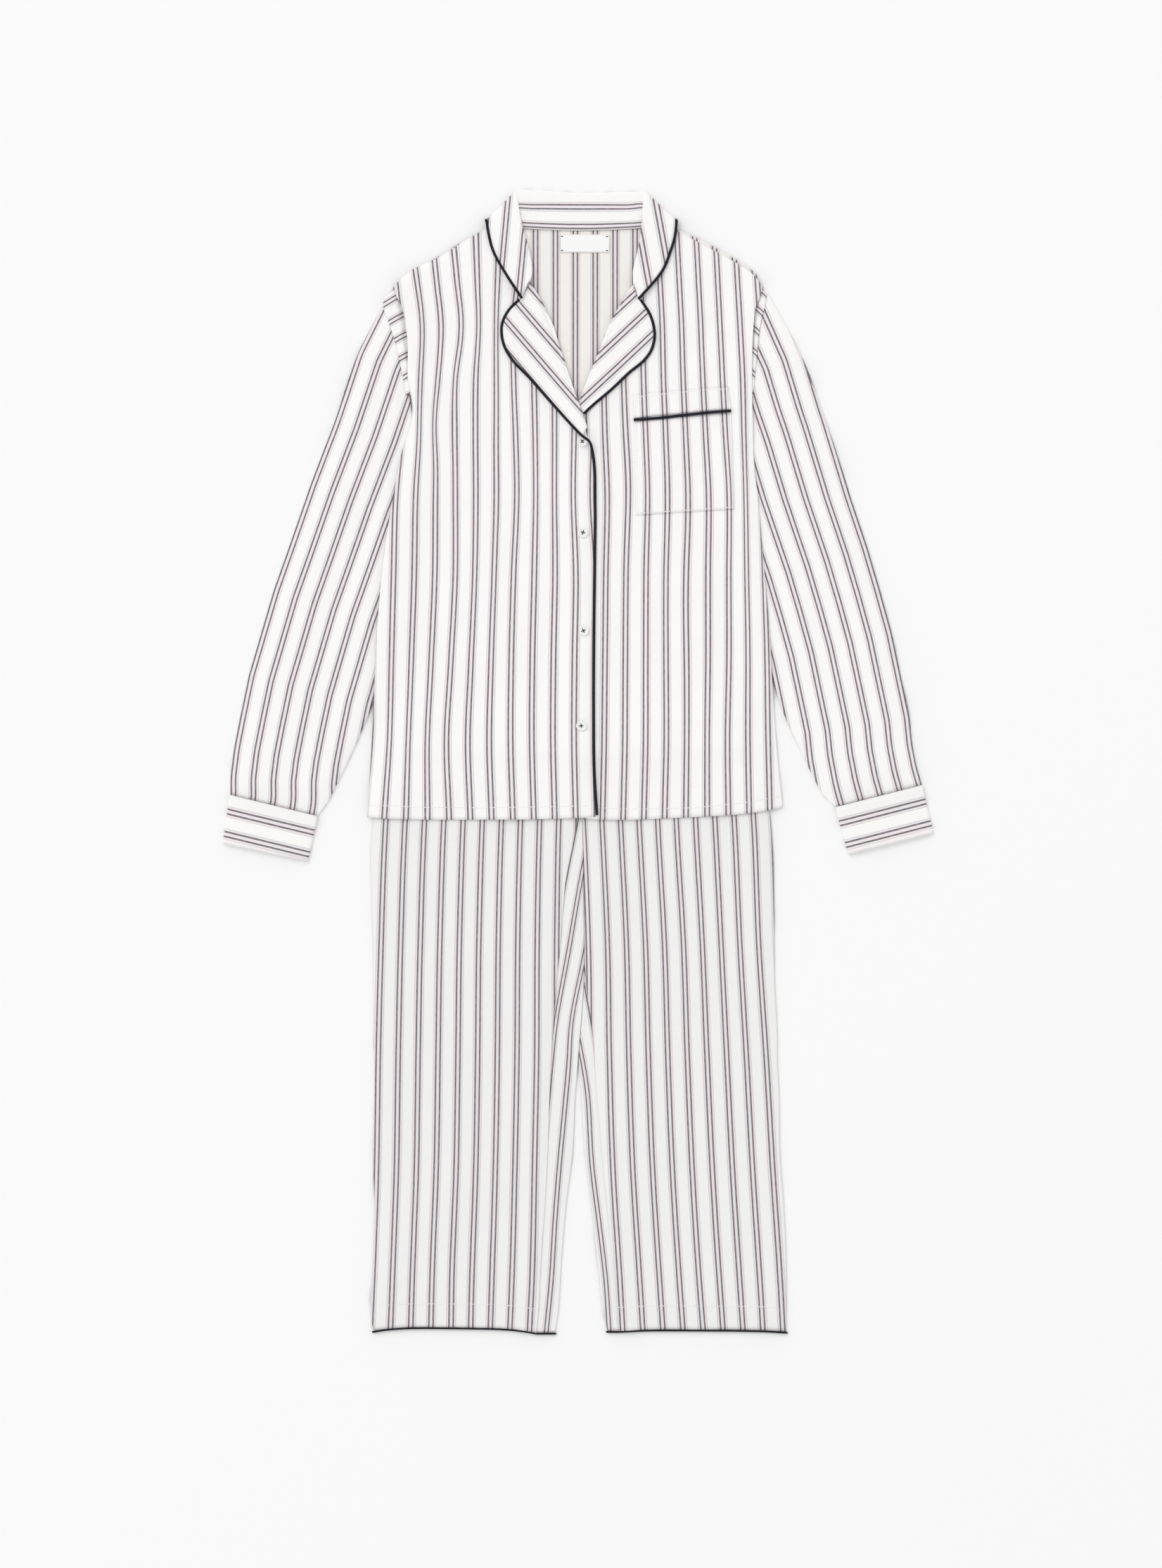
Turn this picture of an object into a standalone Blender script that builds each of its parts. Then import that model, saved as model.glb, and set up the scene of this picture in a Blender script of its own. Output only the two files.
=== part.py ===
# Striped pyjama set laid flat on its back: a long-sleeved shirt with a notched collar,
# over straight cropped trousers whose waist is under the shirt's hem.
# +Z is up, +Y points to the neck, +X to the wearer's left. The origin is under the middle of the set.
# Every size and place below is in millimetres, and MM turns it into metres.

import math
from collections import namedtuple

import bpy
import numpy as np
from mathutils import Vector
from mathutils.bvhtree import BVHTree

MM = 0.001

# Driving sizes
CLOTH = 1.0          # a single layer of woven cotton
DOUBLE = 1.6         # two layers sewn together: collar, lapels, cuffs and waistband
SEAM_GAP = 0.3       # between pieces that meet at a seam or lie on each other
PIPING = 2.6         # diameter of the contrast piping on the shirt
HEM_PIPING = 2.0     # diameter of the piping round the trouser hems
PIPING_STEP = 9.0    # the most between two points of a piping's path
FLOOR_GAP = 0.2      # what keeps the collar piping off the floor, where the fall rests on it
FRONT_LOFT = 1.8     # how far a front panel lifts off the back one between its seams
SLEEVE_LOFT = 1.8    # the same for a sleeve
BAND_LOFT = 0.8      # the same for a cuff and the waistband
ROLL_RADIUS = 1.3    # radius of the collar's roll line, at the middle of its cloth
CELL = 30.0          # aimed size of a panel's facets along it
LONG_CELL = 46.0     # the same for the legs, whose edges are nearly straight
REACH = 7.0          # how far round a point of a small piece the cloth under it is felt for
BODY_REACH = 33.0    # the same for the back and the fronts, whose facets are larger
TOUCH = 0.2          # the same for a piece that only meets its neighbours at seams
BUTTON_WIDTH = 11.5
BUTTON_HEIGHT = 2.2
BUTTON_HOLE = 1.5    # diameter of each of the four holes
BUTTON_HOLE_OFFSET = 1.5
BUTTON_SIDES = 16
BUTTON_FOOT = 0.7    # how far in the underside's edge is rounded
BUTTON_WAIST = 0.8   # height at which the button is widest
BUTTON_LIP = 0.3     # rounding of the raised rim
BUTTON_LIP_WIDTH = 1.0
BUTTON_DISH = 0.6    # depth of the middle below the rim
DRILL_SIDES = 6
LABEL_CLOTH = 0.8
ENDS_LOFT = 0.45     # share of a panel's loft left at its first and last rows
EASING_TURNS = 6     # rounds in which a resting panel's slopes are eased

# A panel is a table of rows from one end to the other. A row runs from a point on the left edge
# to one on the right edge, and its middle lies dip below the straight line between them.
Row = namedtuple("Row", "left_x left_y right_x right_y dip lift", defaults=(0.0, 0.0))

# lift is the least height above the floor, where the collar's fall lies under the back's neck
SHIRT_BACK = [
    Row(-97, 610, 103, 610, 4, 3.2),
    Row(-128, 595, 136, 596, 4, 3.2),
    Row(-157, 577, 171, 577, 3, 2.4),
    Row(-192, 558, 200, 558, 2, 1.0),
    Row(-206, 546, 206, 546, 0, 0.0),
    Row(-199, 513, 200, 513),
    Row(-194, 478, 197, 478),
    Row(-194, 440, 196, 440),
    Row(-189, 399, 197, 399),
    Row(-200, 355, 199, 350),
    Row(-212, 293, 205, 290),
    Row(-221, 235, 210, 230),
    Row(-229, 148, 217, 148),
    Row(-233, 60, 222, 60),
    Row(-237, -12, 228, -14),
    Row(-239, -57, 231, -46, 6),
]

RIGHT_FRONT = [
    Row(-106, 607, -98, 609),
    Row(-128, 594, -85, 595),
    Row(-157, 576, -73, 577),
    Row(-194, 557, -65, 558),
    Row(-206, 545, -57, 546),
    Row(-199, 513, -37, 513),
    Row(-194, 478, -26, 478),
    Row(-194, 440, -13, 440),
    Row(-188, 399, 1, 399),
    Row(-194, 374, 9, 374),
    Row(-200, 355, 14, 355),
    Row(-212, 293, 17.3, 293),
    Row(-221, 235, 17, 235),
    Row(-229, 148, 16, 148),
    Row(-233, 60, 15.6, 60),
    Row(-237, -12, 16.5, -12),
    Row(-240, -62, 19.5, -61, 3),
]

LEFT_FRONT = [
    Row(103, 603, 113, 600),
    Row(91, 590, 132, 589),
    Row(79, 572, 163, 572),
    Row(71.5, 556, 192, 555),
    Row(63, 545, 205, 545),
    Row(45, 514, 200, 513),
    Row(33, 494, 198, 485),
    Row(20, 456, 197, 450),
    Row(10, 434, 197, 420),
    Row(0, 407, 198, 390),
    Row(-8, 380, 199, 344),
    Row(-8, 300, 204, 300),
    Row(-8, 230, 210, 230),
    Row(-8, 148, 217, 148),
    Row(-8, 60, 222, 60),
    Row(-8, -10, 228, -12),
    Row(-8, -61, 232, -50, 7),
]

# A sleeve's rows run from its outer edge to the inner one, from the armhole down
RIGHT_SLEEVE = [
    Row(-211, 542, -178, 318, -3),
    Row(-250, 466, -182, 306),
    Row(-277, 388, -185, 286),
    Row(-305, 316, -190, 250),
    Row(-330, 244, -199, 200),
    Row(-347, 196, -208, 156),
    Row(-361, 148, -219, 112),
    Row(-375, 100, -236, 62),
    Row(-385, 52, -255, 18),
    Row(-392, 16, -270, -14),
    Row(-396, -16, -286, -45),
    Row(-396, -36, -297, -60),
]

LEFT_SLEEVE = [
    Row(211, 542, 180, 318, -3),
    Row(252, 466, 184, 306),
    Row(281, 388, 188, 286),
    Row(305, 316, 192, 250),
    Row(329, 244, 200, 200),
    Row(343, 196, 206, 156),
    Row(356, 148, 216, 112),
    Row(366, 100, 231, 62),
    Row(376, 52, 251, 18),
    Row(379, 22, 265, -12),
    Row(384, -4, 280, -38),
    Row(390, -25, 292, -50),
]

RIGHT_CUFF = [Row(-396, -36.4, -297, -60.4), Row(-404, -92, -308, -112)]
LEFT_CUFF = [Row(390, -25.4, 292, -50.4), Row(403, -80, 307, -104)]

# A lapel's rows run from its roll line to its piped edge, from the gorge seam down
RIGHT_LAPEL = [
    Row(-55.5, 545, -65, 526),
    Row(-50, 536, -76, 516),
    Row(-44, 526, -84, 503),
    Row(-37, 511, -86, 490),
    Row(-31, 499, -84, 477),
    Row(-25, 480, -75, 460),
    Row(-17, 456, -55, 439),
    Row(-8, 428, -33, 414),
    Row(2, 400, -8, 386),
    Row(9, 380, 5, 372),
]

LEFT_LAPEL = [
    Row(62.5, 541, 69, 525),
    Row(55, 531, 78, 512),
    Row(47, 517, 84, 495),
    Row(42, 508, 85, 484),
    Row(37, 499, 82, 471),
    Row(31, 484, 74, 459),
    Row(23, 463, 56, 444),
    Row(14, 442, 36, 425),
    Row(6, 421, 17, 409),
    Row(0, 404, 5, 398),
]

# Across the neck, from the right gorge round the back to the left one: where the stand is sewn on,
# the roll line, and the fall's edge. turn is +90 where the fall lies on the stand, as on the fronts,
# 0 at the side folds and -90 where it lies under the stand, as at the back.
Bend = namedtuple("Bend", "seam_x seam_y seam_z roll_x roll_y edge_x edge_y edge_z turn")

COLLAR = [
    Bend(-59.5, 545.5, 6.1, -55.5, 546.5, -63.5, 529, 8.9, 90),
    Bend(-62, 560, 6.1, -53, 558, -85, 562, 8.7, 90),
    Bend(-69, 578, 6.1, -55, 576, -95.5, 582, 8.5, 90),
    Bend(-79, 596, 6.1, -60, 596, -100.5, 601, 8.3, 90),
    Bend(-86, 605, 6.0, -65, 614, -102.5, 614, 7.6, 80),
    Bend(-92, 610, 5.6, -68.5, 633, -103.5, 617, 6.0, 45),
    Bend(-93, 613, 4.8, -70, 650, -102.5, 618, 3.8, 0),
    Bend(-88, 612.5, 4.1, -63, 651, -97, 612, 1.6, -60),
    Bend(-76, 611, 3.7, -54, 651, -82, 603, 0.8, -90),
    Bend(-56, 609, 3.7, -40, 650.5, -58, 599, 0.8, -90),
    Bend(2, 607, 3.7, 2, 647.5, 2, 597, 0.8, -90),
    Bend(60, 609, 3.7, 43, 648.5, 63, 599, 0.8, -90),
    Bend(81, 611, 3.7, 62, 649, 88, 603, 0.8, -90),
    Bend(93, 612.5, 4.1, 69, 649, 103, 612, 1.6, -60),
    Bend(99, 613, 4.8, 75.5, 648, 108.5, 618, 3.8, 0),
    Bend(98, 610, 5.6, 73.5, 633, 109.5, 617, 6.0, 45),
    Bend(93, 604, 6.0, 72, 614, 109.5, 614, 7.6, 80),
    Bend(87, 595, 6.1, 70, 596, 108, 599, 8.3, 90),
    Bend(77, 578, 6.1, 66.5, 577, 103.5, 583, 8.5, 90),
    Bend(70, 561, 6.1, 62.5, 560, 93, 558, 8.7, 90),
    Bend(66.5, 545, 6.1, 62.5, 542.5, 67.5, 528, 8.9, 90),
]

RIGHT_LEG = [
    Row(-190, 14, -3.3, 14),
    Row(-226, -40, 3, -40),
    Row(-236, -90, 5, -90),
    Row(-235, -156, 6, -156),
    Row(-233, -252, 6, -252),
    Row(-233, -316, 1.5, -316),
    Row(-232, -335, -0.3, -335),
    Row(-232, -380, -4, -380),
    Row(-234, -444, -7, -444),
    Row(-232, -500, -14, -500),
    Row(-234, -572, -20, -572),
    Row(-236, -630, -24, -630),
    Row(-233, -646, -27, -648, -5),
]

LEFT_LEG = [
    Row(-3, 14, 178, 14),
    Row(3.3, -40, 213, -40),
    Row(5.3, -90, 220, -90),
    Row(6.3, -156, 222, -156),
    Row(6.3, -252, 223, -252),
    Row(1.8, -316, 226, -316),
    Row(0.3, -335, 226, -335),
    Row(3, -380, 228, -380),
    Row(7, -444, 229, -444),
    Row(14, -500, 233, -500),
    Row(22, -572, 236, -572),
    Row(29, -630, 236, -630),
    Row(33, -646, 236, -647, -2),
]

WAISTBAND = [Row(-190, 49, 178, 49), Row(-190, 15, 178, 15)]

POCKET_BAND = [Row(62, 418, 170, 427, -1), Row(62.5, 391.3, 173, 401.3, -1)]
POCKET = [Row(62.8, 387, 173.3, 397, -1), Row(65, 281, 177, 288)]

# A crease is a soft trough in an upper panel, as wide as width and as deep as depth
Crease = namedtuple("Crease", "start_x start_y end_x end_y width depth")
LEG_CREASES = [
    Crease(-14, -130, -31, -300, 9, 1.4),
    Crease(-31, -300, -34, -430, 10, 1.2),
    Crease(6, -236, 20, -330, 8, 1.2),
]
FRONT_CREASES = [
    Crease(-170, 500, -130, 380, 12, 0.9),
    Crease(-105, 470, -95, 340, 10, 0.8),
    Crease(-60, 330, -75, 180, 12, 0.9),
    Crease(160, 520, 120, 440, 12, 0.8),
]
SLEEVE_CREASES = [
    Crease(-212, 500, -225, 400, 9, 1.3),
    Crease(214, 500, 226, 400, 9, 1.3),
    Crease(-215, 330, -300, 120, 12, 0.9),
    Crease(215, 330, 300, 120, 12, 0.9),
]

LABEL = [Row(-20.5, 600.5, 35, 600.5), Row(-20.5, 580, 35, 580)]
POCKET_SEAM = [(62.6, 389.6), (90, 391.6), (118, 394.7), (146, 397.6), (173.2, 399.6)]
NECK_MIDDLE = (0, 470)     # the lapels' piping lies away from here
RIGHT_CHEST = (-100, 150)  # and the front edge's piping away from here
BREAK_Y = 366              # where the right lapel's piping runs on as the front edge's
LAPEL_CELL = 10.0
BUTTON_PLACES = [(4.5, 363), (5, 261.5), (5.5, 150), (3, 42)]


def material(name, colour, roughness):
    made = bpy.data.materials.new(name)
    made.use_nodes = True
    shader = made.node_tree.nodes["Principled BSDF"]
    shader.inputs["Base Color"].default_value = (*colour, 1)
    shader.inputs["Roughness"].default_value = roughness
    return made


def new_object(name, points, faces, look):
    mesh = bpy.data.meshes.new(name)
    mesh.from_pydata([Vector(p) * MM for p in points], [], faces)
    mesh.materials.append(look)
    piece = bpy.data.objects.new(name, mesh)
    bpy.context.scene.collection.objects.link(piece)
    return piece


# What is already laid down

ABOVE_ALL = 100.0
pile = []


def add_to_pile(piece):
    """Later pieces rest on this one."""
    bpy.context.view_layer.update()
    evaluated = piece.evaluated_get(bpy.context.evaluated_depsgraph_get())
    mesh = evaluated.to_mesh()
    points = [piece.matrix_world @ v.co / MM for v in mesh.vertices]
    pile.append(BVHTree.FromPolygons(points, [tuple(p.vertices) for p in mesh.polygons]))
    evaluated.to_mesh_clear()


def pile_top(x, y, reach):
    """The highest cloth within reach of (x, y)."""
    top = 0.0
    for share, turns in ((0, 1), (0.25, 6), (0.5, 12), (0.75, 18), (1, 24)):
        for k in range(turns):
            angle = 2 * math.pi * k / turns
            spot = Vector((x + share * reach * math.cos(angle), y + share * reach * math.sin(angle), ABOVE_ALL))
            for tree in pile:
                hit = tree.ray_cast(spot, Vector((0, 0, -1)))[0]
                if hit:
                    top = max(top, hit.z)
    return top


# Sheets

def smooth_table(rows, step):
    """The table's rows as a smooth run, with one about every step millimetres."""
    table = np.array(rows, float)
    middles = (table[:, 0:2] + table[:, 2:4]) / 2
    spans = np.linalg.norm(np.diff(middles, axis=0), axis=1)
    along = np.concatenate([[0], np.cumsum(spans)])
    slopes = np.gradient(table, along, axis=0)
    found = []
    for i, span in enumerate(spans):
        parts = max(1, round(span / step))
        for k in range(parts):
            t = k / parts
            found.append(
                table[i] * (1 + 2 * t) * (1 - t) ** 2
                + slopes[i] * span * t * (1 - t) ** 2
                + table[i + 1] * t * t * (3 - 2 * t)
                + slopes[i + 1] * span * t * t * (t - 1)
            )
    found.append(table[-1])
    return found


def plan(rows, columns, step=CELL):
    """Points of a panel seen from above, as [row][column] of (x, y), and each row's lift."""
    points, lifts = [], []
    for left_x, left_y, right_x, right_y, dip, lift in smooth_table(rows, step):
        row = []
        for k in range(columns + 1):
            u = k / columns
            sag = dip * (1 - (2 * u - 1) ** 4)
            row.append((left_x + (right_x - left_x) * u, left_y + (right_y - left_y) * u - sag))
        points.append(row)
        lifts.append(lift)
    return points, lifts


def loft_at(i, k, rows, columns, loft):
    """How far the cloth stands off at row i, column k: nothing at the edges, most between them."""
    across = math.sin(math.pi * k / columns) ** 0.5 if 0 < k < columns else 0.0
    along = ENDS_LOFT + (1 - ENDS_LOFT) * math.sin(math.pi * i / (rows - 1))
    return loft * across * along


def crease_at(x, y, creases):
    """The depth of the creases at (x, y)."""
    deep = 0.0
    for c in creases:
        dx, dy = c.end_x - c.start_x, c.end_y - c.start_y
        t = ((x - c.start_x) * dx + (y - c.start_y) * dy) / (dx * dx + dy * dy)
        t = min(1, max(0, t))
        off = math.hypot(x - c.start_x - t * dx, y - c.start_y - t * dy)
        deep += c.depth * math.exp(-((off / c.width) ** 2))
    return deep


def rest_heights(points, lifts, reach):
    """The lowest heights at which these points clear the pile, eased into soft slopes."""
    least = np.array([
        [max(lift, pile_top(x, y, reach) + SEAM_GAP) for x, y in row]
        for row, lift in zip(points, lifts)
    ])
    least[least <= SEAM_GAP + 1e-6] = 0.0
    heights = least.copy()
    for _ in range(EASING_TURNS):
        padded = np.pad(heights, 1, mode="edge")
        mean = (padded[:-2, 1:-1] + padded[2:, 1:-1] + padded[1:-1, :-2] + padded[1:-1, 2:]) / 4
        heights = np.maximum(least, mean)
    heights[heights < 0.02] = 0.0
    return heights


def wall_faces(rows, columns):
    """Faces of a closed wall whose lower points come first, then its upper ones."""
    wide = columns + 1
    upper = rows * wide
    faces = []
    for i in range(rows - 1):
        for k in range(columns):
            a, b, c, d = i * wide + k, i * wide + k + 1, (i + 1) * wide + k + 1, (i + 1) * wide + k
            faces += [(a, b, c, d), (upper + d, upper + c, upper + b, upper + a)]
    rim = [k for k in range(wide)] + [i * wide + columns for i in range(1, rows)]
    rim += [(rows - 1) * wide + k for k in range(columns - 1, -1, -1)]
    rim += [i * wide for i in range(rows - 2, 0, -1)]
    for a, b in zip(rim, rim[1:] + rim[:1]):
        faces.append((b, a, upper + a, upper + b))
    return faces


def face_out(piece):
    """Turns the mesh so that its faces point out."""
    mesh = piece.data
    mesh.calc_loop_triangles()
    volume = 0.0
    for t in mesh.loop_triangles:
        a, b, c = (mesh.vertices[v].co for v in t.vertices)
        volume += a.dot(b.cross(c))
    if volume < 0:
        mesh.flip_normals()


def lay_panel(name, table, columns, wall, look, loft=0.0, creases=(), step=CELL, reach=REACH):
    """A sheet of cloth laid on the pile. It returns its points in plan, row by row, for the piping."""
    points, lifts = plan(table, columns, step)
    heights = rest_heights(points, lifts, reach)
    rows = len(points)
    lower = []
    for i, row in enumerate(points):
        for k, (x, y) in enumerate(row):
            rise = max(0.0, loft_at(i, k, rows, columns, loft) - crease_at(x, y, creases))
            lower.append((x, y, heights[i, k] + rise))
    upper = [(x, y, z + wall) for x, y, z in lower]
    piece = new_object(name, lower + upper, wall_faces(rows, columns), look)
    face_out(piece)
    add_to_pile(piece)
    return points


def ring(row, heights, inset, low, high, lofts):
    """A flattened ring through a row: along its underside and back along its top."""
    last = len(row) - 1
    (x0, y0), (x1, y1) = row[0], row[-1]
    length = math.hypot(x1 - x0, y1 - y0)
    pulled = []
    for k, (x, y) in enumerate(row):
        if k in (0, last):
            way = inset / length * (1 if k == 0 else -1)
            x, y = x + (x1 - x0) * way, y + (y1 - y0) * way
        pulled.append((x, y))
    under = [(x, y, h + low) for (x, y), h in zip(pulled, heights)]
    over = [(x, y, h + high + rise) for (x, y), h, rise in zip(pulled, heights, lofts)]
    return under + over[::-1]


def lay_tube(name, table, columns, wall, look, loft, creases=(), step=CELL):
    """A tube of cloth pressed flat and laid on the pile, open at both ends."""
    points, lifts = plan(table, columns, step)
    heights = rest_heights(points, lifts, TOUCH)
    rows = len(points)
    skins = []
    full = 2 * wall + SEAM_GAP
    for inset, low, high in ((0, 0, full), (wall, wall, full - wall)):
        skin = []
        for i, row in enumerate(points):
            lofts = [
                max(0.0, loft_at(i, k, rows, columns, loft) - crease_at(x, y, creases))
                for k, (x, y) in enumerate(row)
            ]
            skin.append(ring(row, heights[i], inset, low, high, lofts))
        skins.append(skin)
    around = len(skins[0][0])
    flat = [p for skin in skins for line in skin for p in line]
    inner = rows * around
    faces = []
    for i in range(rows - 1):
        for k in range(around):
            n = (k + 1) % around
            a, b, c, d = i * around + k, i * around + n, (i + 1) * around + n, (i + 1) * around + k
            faces += [(a, b, c, d), (inner + d, inner + c, inner + b, inner + a)]
    for k in range(around):
        n = (k + 1) % around
        end = (rows - 1) * around
        faces += [(k, inner + k, inner + n, n), (end + n, inner + end + n, inner + end + k, end + k)]
    piece = new_object(name, flat, faces, look)
    face_out(piece)
    add_to_pile(piece)


# Piping

def outward(points, i, centre):
    """The direction in plan, square to the line at point i, that leads away from centre."""
    a, b = points[max(0, i - 1)], points[min(len(points) - 1, i + 1)]
    across = Vector((b[1] - a[1], a[0] - b[0])).normalized()
    away = Vector((points[i][0] - centre[0], points[i][1] - centre[1]))
    return across if across.dot(away) > 0 else -across


def beside(points, centre, offset):
    """The line moved outwards by offset."""
    moved = []
    for i, p in enumerate(points):
        way = outward(points, i, centre)
        moved.append((p[0] + way.x * offset, p[1] + way.y * offset))
    return moved


def piping(name, path, diameter, look, closed=False):
    """A round cord through the points of path."""
    curve = bpy.data.curves.new(name, "CURVE")
    curve.dimensions = "3D"
    curve.bevel_depth = diameter / 2 * MM
    curve.bevel_resolution = 1
    curve.use_fill_caps = not closed
    line = curve.splines.new("POLY")
    line.points.add(len(path) - 1)
    line.use_cyclic_u = closed
    for point, place in zip(line.points, path):
        point.co = (*[c * MM for c in place], 1)
    curve.materials.append(look)
    cord = bpy.data.objects.new(name, curve)
    bpy.context.scene.collection.objects.link(cord)
    return cord


def finer(line, step):
    """The line with points added, so that no two are more than step apart."""
    found = [line[0]]
    for (x0, y0), (x1, y1) in zip(line, line[1:]):
        parts = max(1, math.ceil(math.hypot(x1 - x0, y1 - y0) / step))
        found += [(x0 + (x1 - x0) * k / parts, y0 + (y1 - y0) * k / parts) for k in range(1, parts + 1)]
    return found


def laid_path(line, diameter):
    """The line's points at the height of a cord that lies on the pile, with its steps eased."""
    line = finer(line, PIPING_STEP)
    least = np.array([pile_top(x, y, diameter * 0.55) for x, y in line]) + SEAM_GAP + diameter / 2
    least = np.maximum(least, np.maximum(np.append(least[1:], 0), np.append(0, least[:-1])))
    heights = least.copy()
    for _ in range(EASING_TURNS):
        padded = np.pad(heights, 1, mode="edge")
        heights = np.maximum(least, (padded[:-2] + padded[2:]) / 2)
    return [(x, y, z) for (x, y), z in zip(line, heights)]


# The collar

def collar_section(bend):
    """Points of the collar's middle surface across the neck: up the stand, round the roll, down the fall."""
    seam = Vector((bend.seam_x, bend.seam_y, bend.seam_z))
    edge = Vector((bend.edge_x, bend.edge_y, bend.edge_z))
    roll = Vector((bend.roll_x, bend.roll_y, 0))
    rise = Vector((roll.x - seam.x, roll.y - seam.y, 0)).normalized()
    side = Vector((edge.x - seam.x, edge.y - seam.y, 0))
    side -= rise * side.dot(rise)
    side = side.normalized() if side.length > 0.5 else Vector((0, 0, 0))
    turn = math.radians(bend.turn)
    over = (side * math.cos(turn) + Vector((0, 0, 1)) * math.sin(turn)).normalized()
    roll.z = (bend.seam_z + bend.edge_z) / 2
    centre = roll - rise * ROLL_RADIUS
    start, end = centre - over * ROLL_RADIUS, centre + over * ROLL_RADIUS
    points = [seam.lerp(start, t) for t in (0, 0.35, 0.7)]
    for k in range(4):
        angle = math.pi * k / 3
        points.append(centre - over * ROLL_RADIUS * math.cos(angle) + rise * ROLL_RADIUS * math.sin(angle))
    points += [end.lerp(edge, t) for t in (0.3, 0.6, 0.85, 1)]
    return points


def make_collar(look, cord_look):
    table = np.array(COLLAR, float)
    half = []
    for i in range(len(table) - 1):
        before, after = table[max(0, i - 1)], table[min(len(table) - 1, i + 2)]
        middle = (9 * (table[i] + table[i + 1]) - before - after) / 16
        half += [table[i], middle]
    half.append(table[-1])
    lines = [collar_section(Bend(*row)) for row in half]
    wide = len(lines[0])
    faces = [
        (i * wide + k, i * wide + k + 1, (i + 1) * wide + k + 1, (i + 1) * wide + k)
        for i in range(len(lines) - 1)
        for k in range(wide - 1)
    ]
    collar = new_object("collar", [p for line in lines for p in line], faces, look)
    thick = collar.modifiers.new("cloth", "SOLIDIFY")
    thick.thickness = DOUBLE * MM
    thick.offset = 0
    collar_cord = []
    for line in lines:
        way = (line[-1] - line[-2]).normalized()
        place = line[-1] + way * (PIPING / 2 + 2 * SEAM_GAP)
        place.z = max(place.z, PIPING / 2 + FLOOR_GAP)
        collar_cord.append(place)
    cord = piping("collar_piping", collar_cord, PIPING, cord_look)
    return collar, cord


# The small pieces

def make_button(name, x, y, look):
    """A turned disc with a dished face and four holes."""
    rim = BUTTON_WIDTH / 2
    lip, dish = rim - BUTTON_LIP_WIDTH, BUTTON_HEIGHT - BUTTON_DISH
    profile = [(0, 0), (rim - BUTTON_FOOT, 0), (rim, BUTTON_WAIST), (rim - BUTTON_LIP, BUTTON_HEIGHT - BUTTON_LIP)]
    profile += [(lip, BUTTON_HEIGHT), (lip - BUTTON_LIP_WIDTH, dish), (0, dish)]
    points, faces = [(0, 0, profile[0][1])], []
    for radius, height in profile[1:-1]:
        for k in range(BUTTON_SIDES):
            angle = 2 * math.pi * k / BUTTON_SIDES
            points.append((radius * math.cos(angle), radius * math.sin(angle), height))
    points.append((0, 0, profile[-1][1]))
    rings = len(profile) - 2
    top = len(points) - 1
    for k in range(BUTTON_SIDES):
        n = (k + 1) % BUTTON_SIDES
        faces.append((0, 1 + n, 1 + k))
        for r in range(rings - 1):
            a = 1 + r * BUTTON_SIDES
            faces.append((a + k, a + n, a + BUTTON_SIDES + n, a + BUTTON_SIDES + k))
        a = 1 + (rings - 1) * BUTTON_SIDES
        faces.append((a + k, a + n, top))
    button = new_object(name, points, faces, look)
    height = pile_top(x, y, rim) + SEAM_GAP
    button.location = Vector((x, y, height)) * MM
    for i, angle in enumerate((45, 135, 225, 315)):
        turn = math.radians(angle)
        drill = bpy.data.objects.new(f"{name}_drill_{i}", drill_mesh())
        drill.location = Vector((
            x + BUTTON_HOLE_OFFSET * math.sqrt(2) * math.cos(turn),
            y + BUTTON_HOLE_OFFSET * math.sqrt(2) * math.sin(turn),
            height,
        )) * MM
        drill.hide_render = True
        drill.display_type = "WIRE"
        bpy.context.scene.collection.objects.link(drill)
        cut = button.modifiers.new(f"hole_{i}", "BOOLEAN")
        cut.operation = "DIFFERENCE"
        cut.object = drill
    return button


def drill_mesh():
    """A rod that runs past both faces of a button."""
    sides = DRILL_SIDES
    ring_points = [
        (BUTTON_HOLE / 2 * math.cos(2 * math.pi * k / sides), BUTTON_HOLE / 2 * math.sin(2 * math.pi * k / sides))
        for k in range(sides)
    ]
    points = [(x, y, -1) for x, y in ring_points] + [(x, y, BUTTON_HEIGHT + 1) for x, y in ring_points]
    faces = [tuple(range(sides))[::-1], tuple(range(sides, 2 * sides))]
    faces += [(k, (k + 1) % sides, sides + (k + 1) % sides, sides + k) for k in range(sides)]
    mesh = bpy.data.meshes.new("drill")
    mesh.from_pydata([Vector(p) * MM for p in points], [], faces)
    return mesh


def edge_line(points, column):
    return [row[column] for row in points]


def hem_piping(name, front_hem, look):
    """The flattened ring of piping below a trouser hem: along the back on the floor, and along the front on it."""
    radius = HEM_PIPING / 2
    line = [(x, y - radius - SEAM_GAP) for x, y in front_hem]
    low, high = radius, 3 * radius + SEAM_GAP
    (first_x, first_y), (last_x, last_y) = line[0], line[-1]
    middle = (low + high) / 2
    path = [(x, y, low) for x, y in line]
    path += [(last_x + radius, last_y, middle)]
    path += [(x, y, high) for x, y in reversed(line)]
    path += [(first_x - radius, first_y, middle)]
    return piping(name, path, HEM_PIPING, look, closed=True)


def centre_on_floor():
    """Moves everything so that the origin is under the middle of the set."""
    bpy.context.view_layer.update()
    graph = bpy.context.evaluated_depsgraph_get()
    places = []
    for piece in bpy.data.objects:
        if not piece.hide_render:
            mesh = piece.evaluated_get(graph).to_mesh()
            places += [piece.matrix_world @ v.co for v in mesh.vertices]
    low = [min(p[i] for p in places) for i in range(3)]
    high = [max(p[i] for p in places) for i in range(3)]
    shift = Vector(((low[0] + high[0]) / 2, (low[1] + high[1]) / 2, low[2]))
    for piece in bpy.data.objects:
        piece.location -= shift


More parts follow.
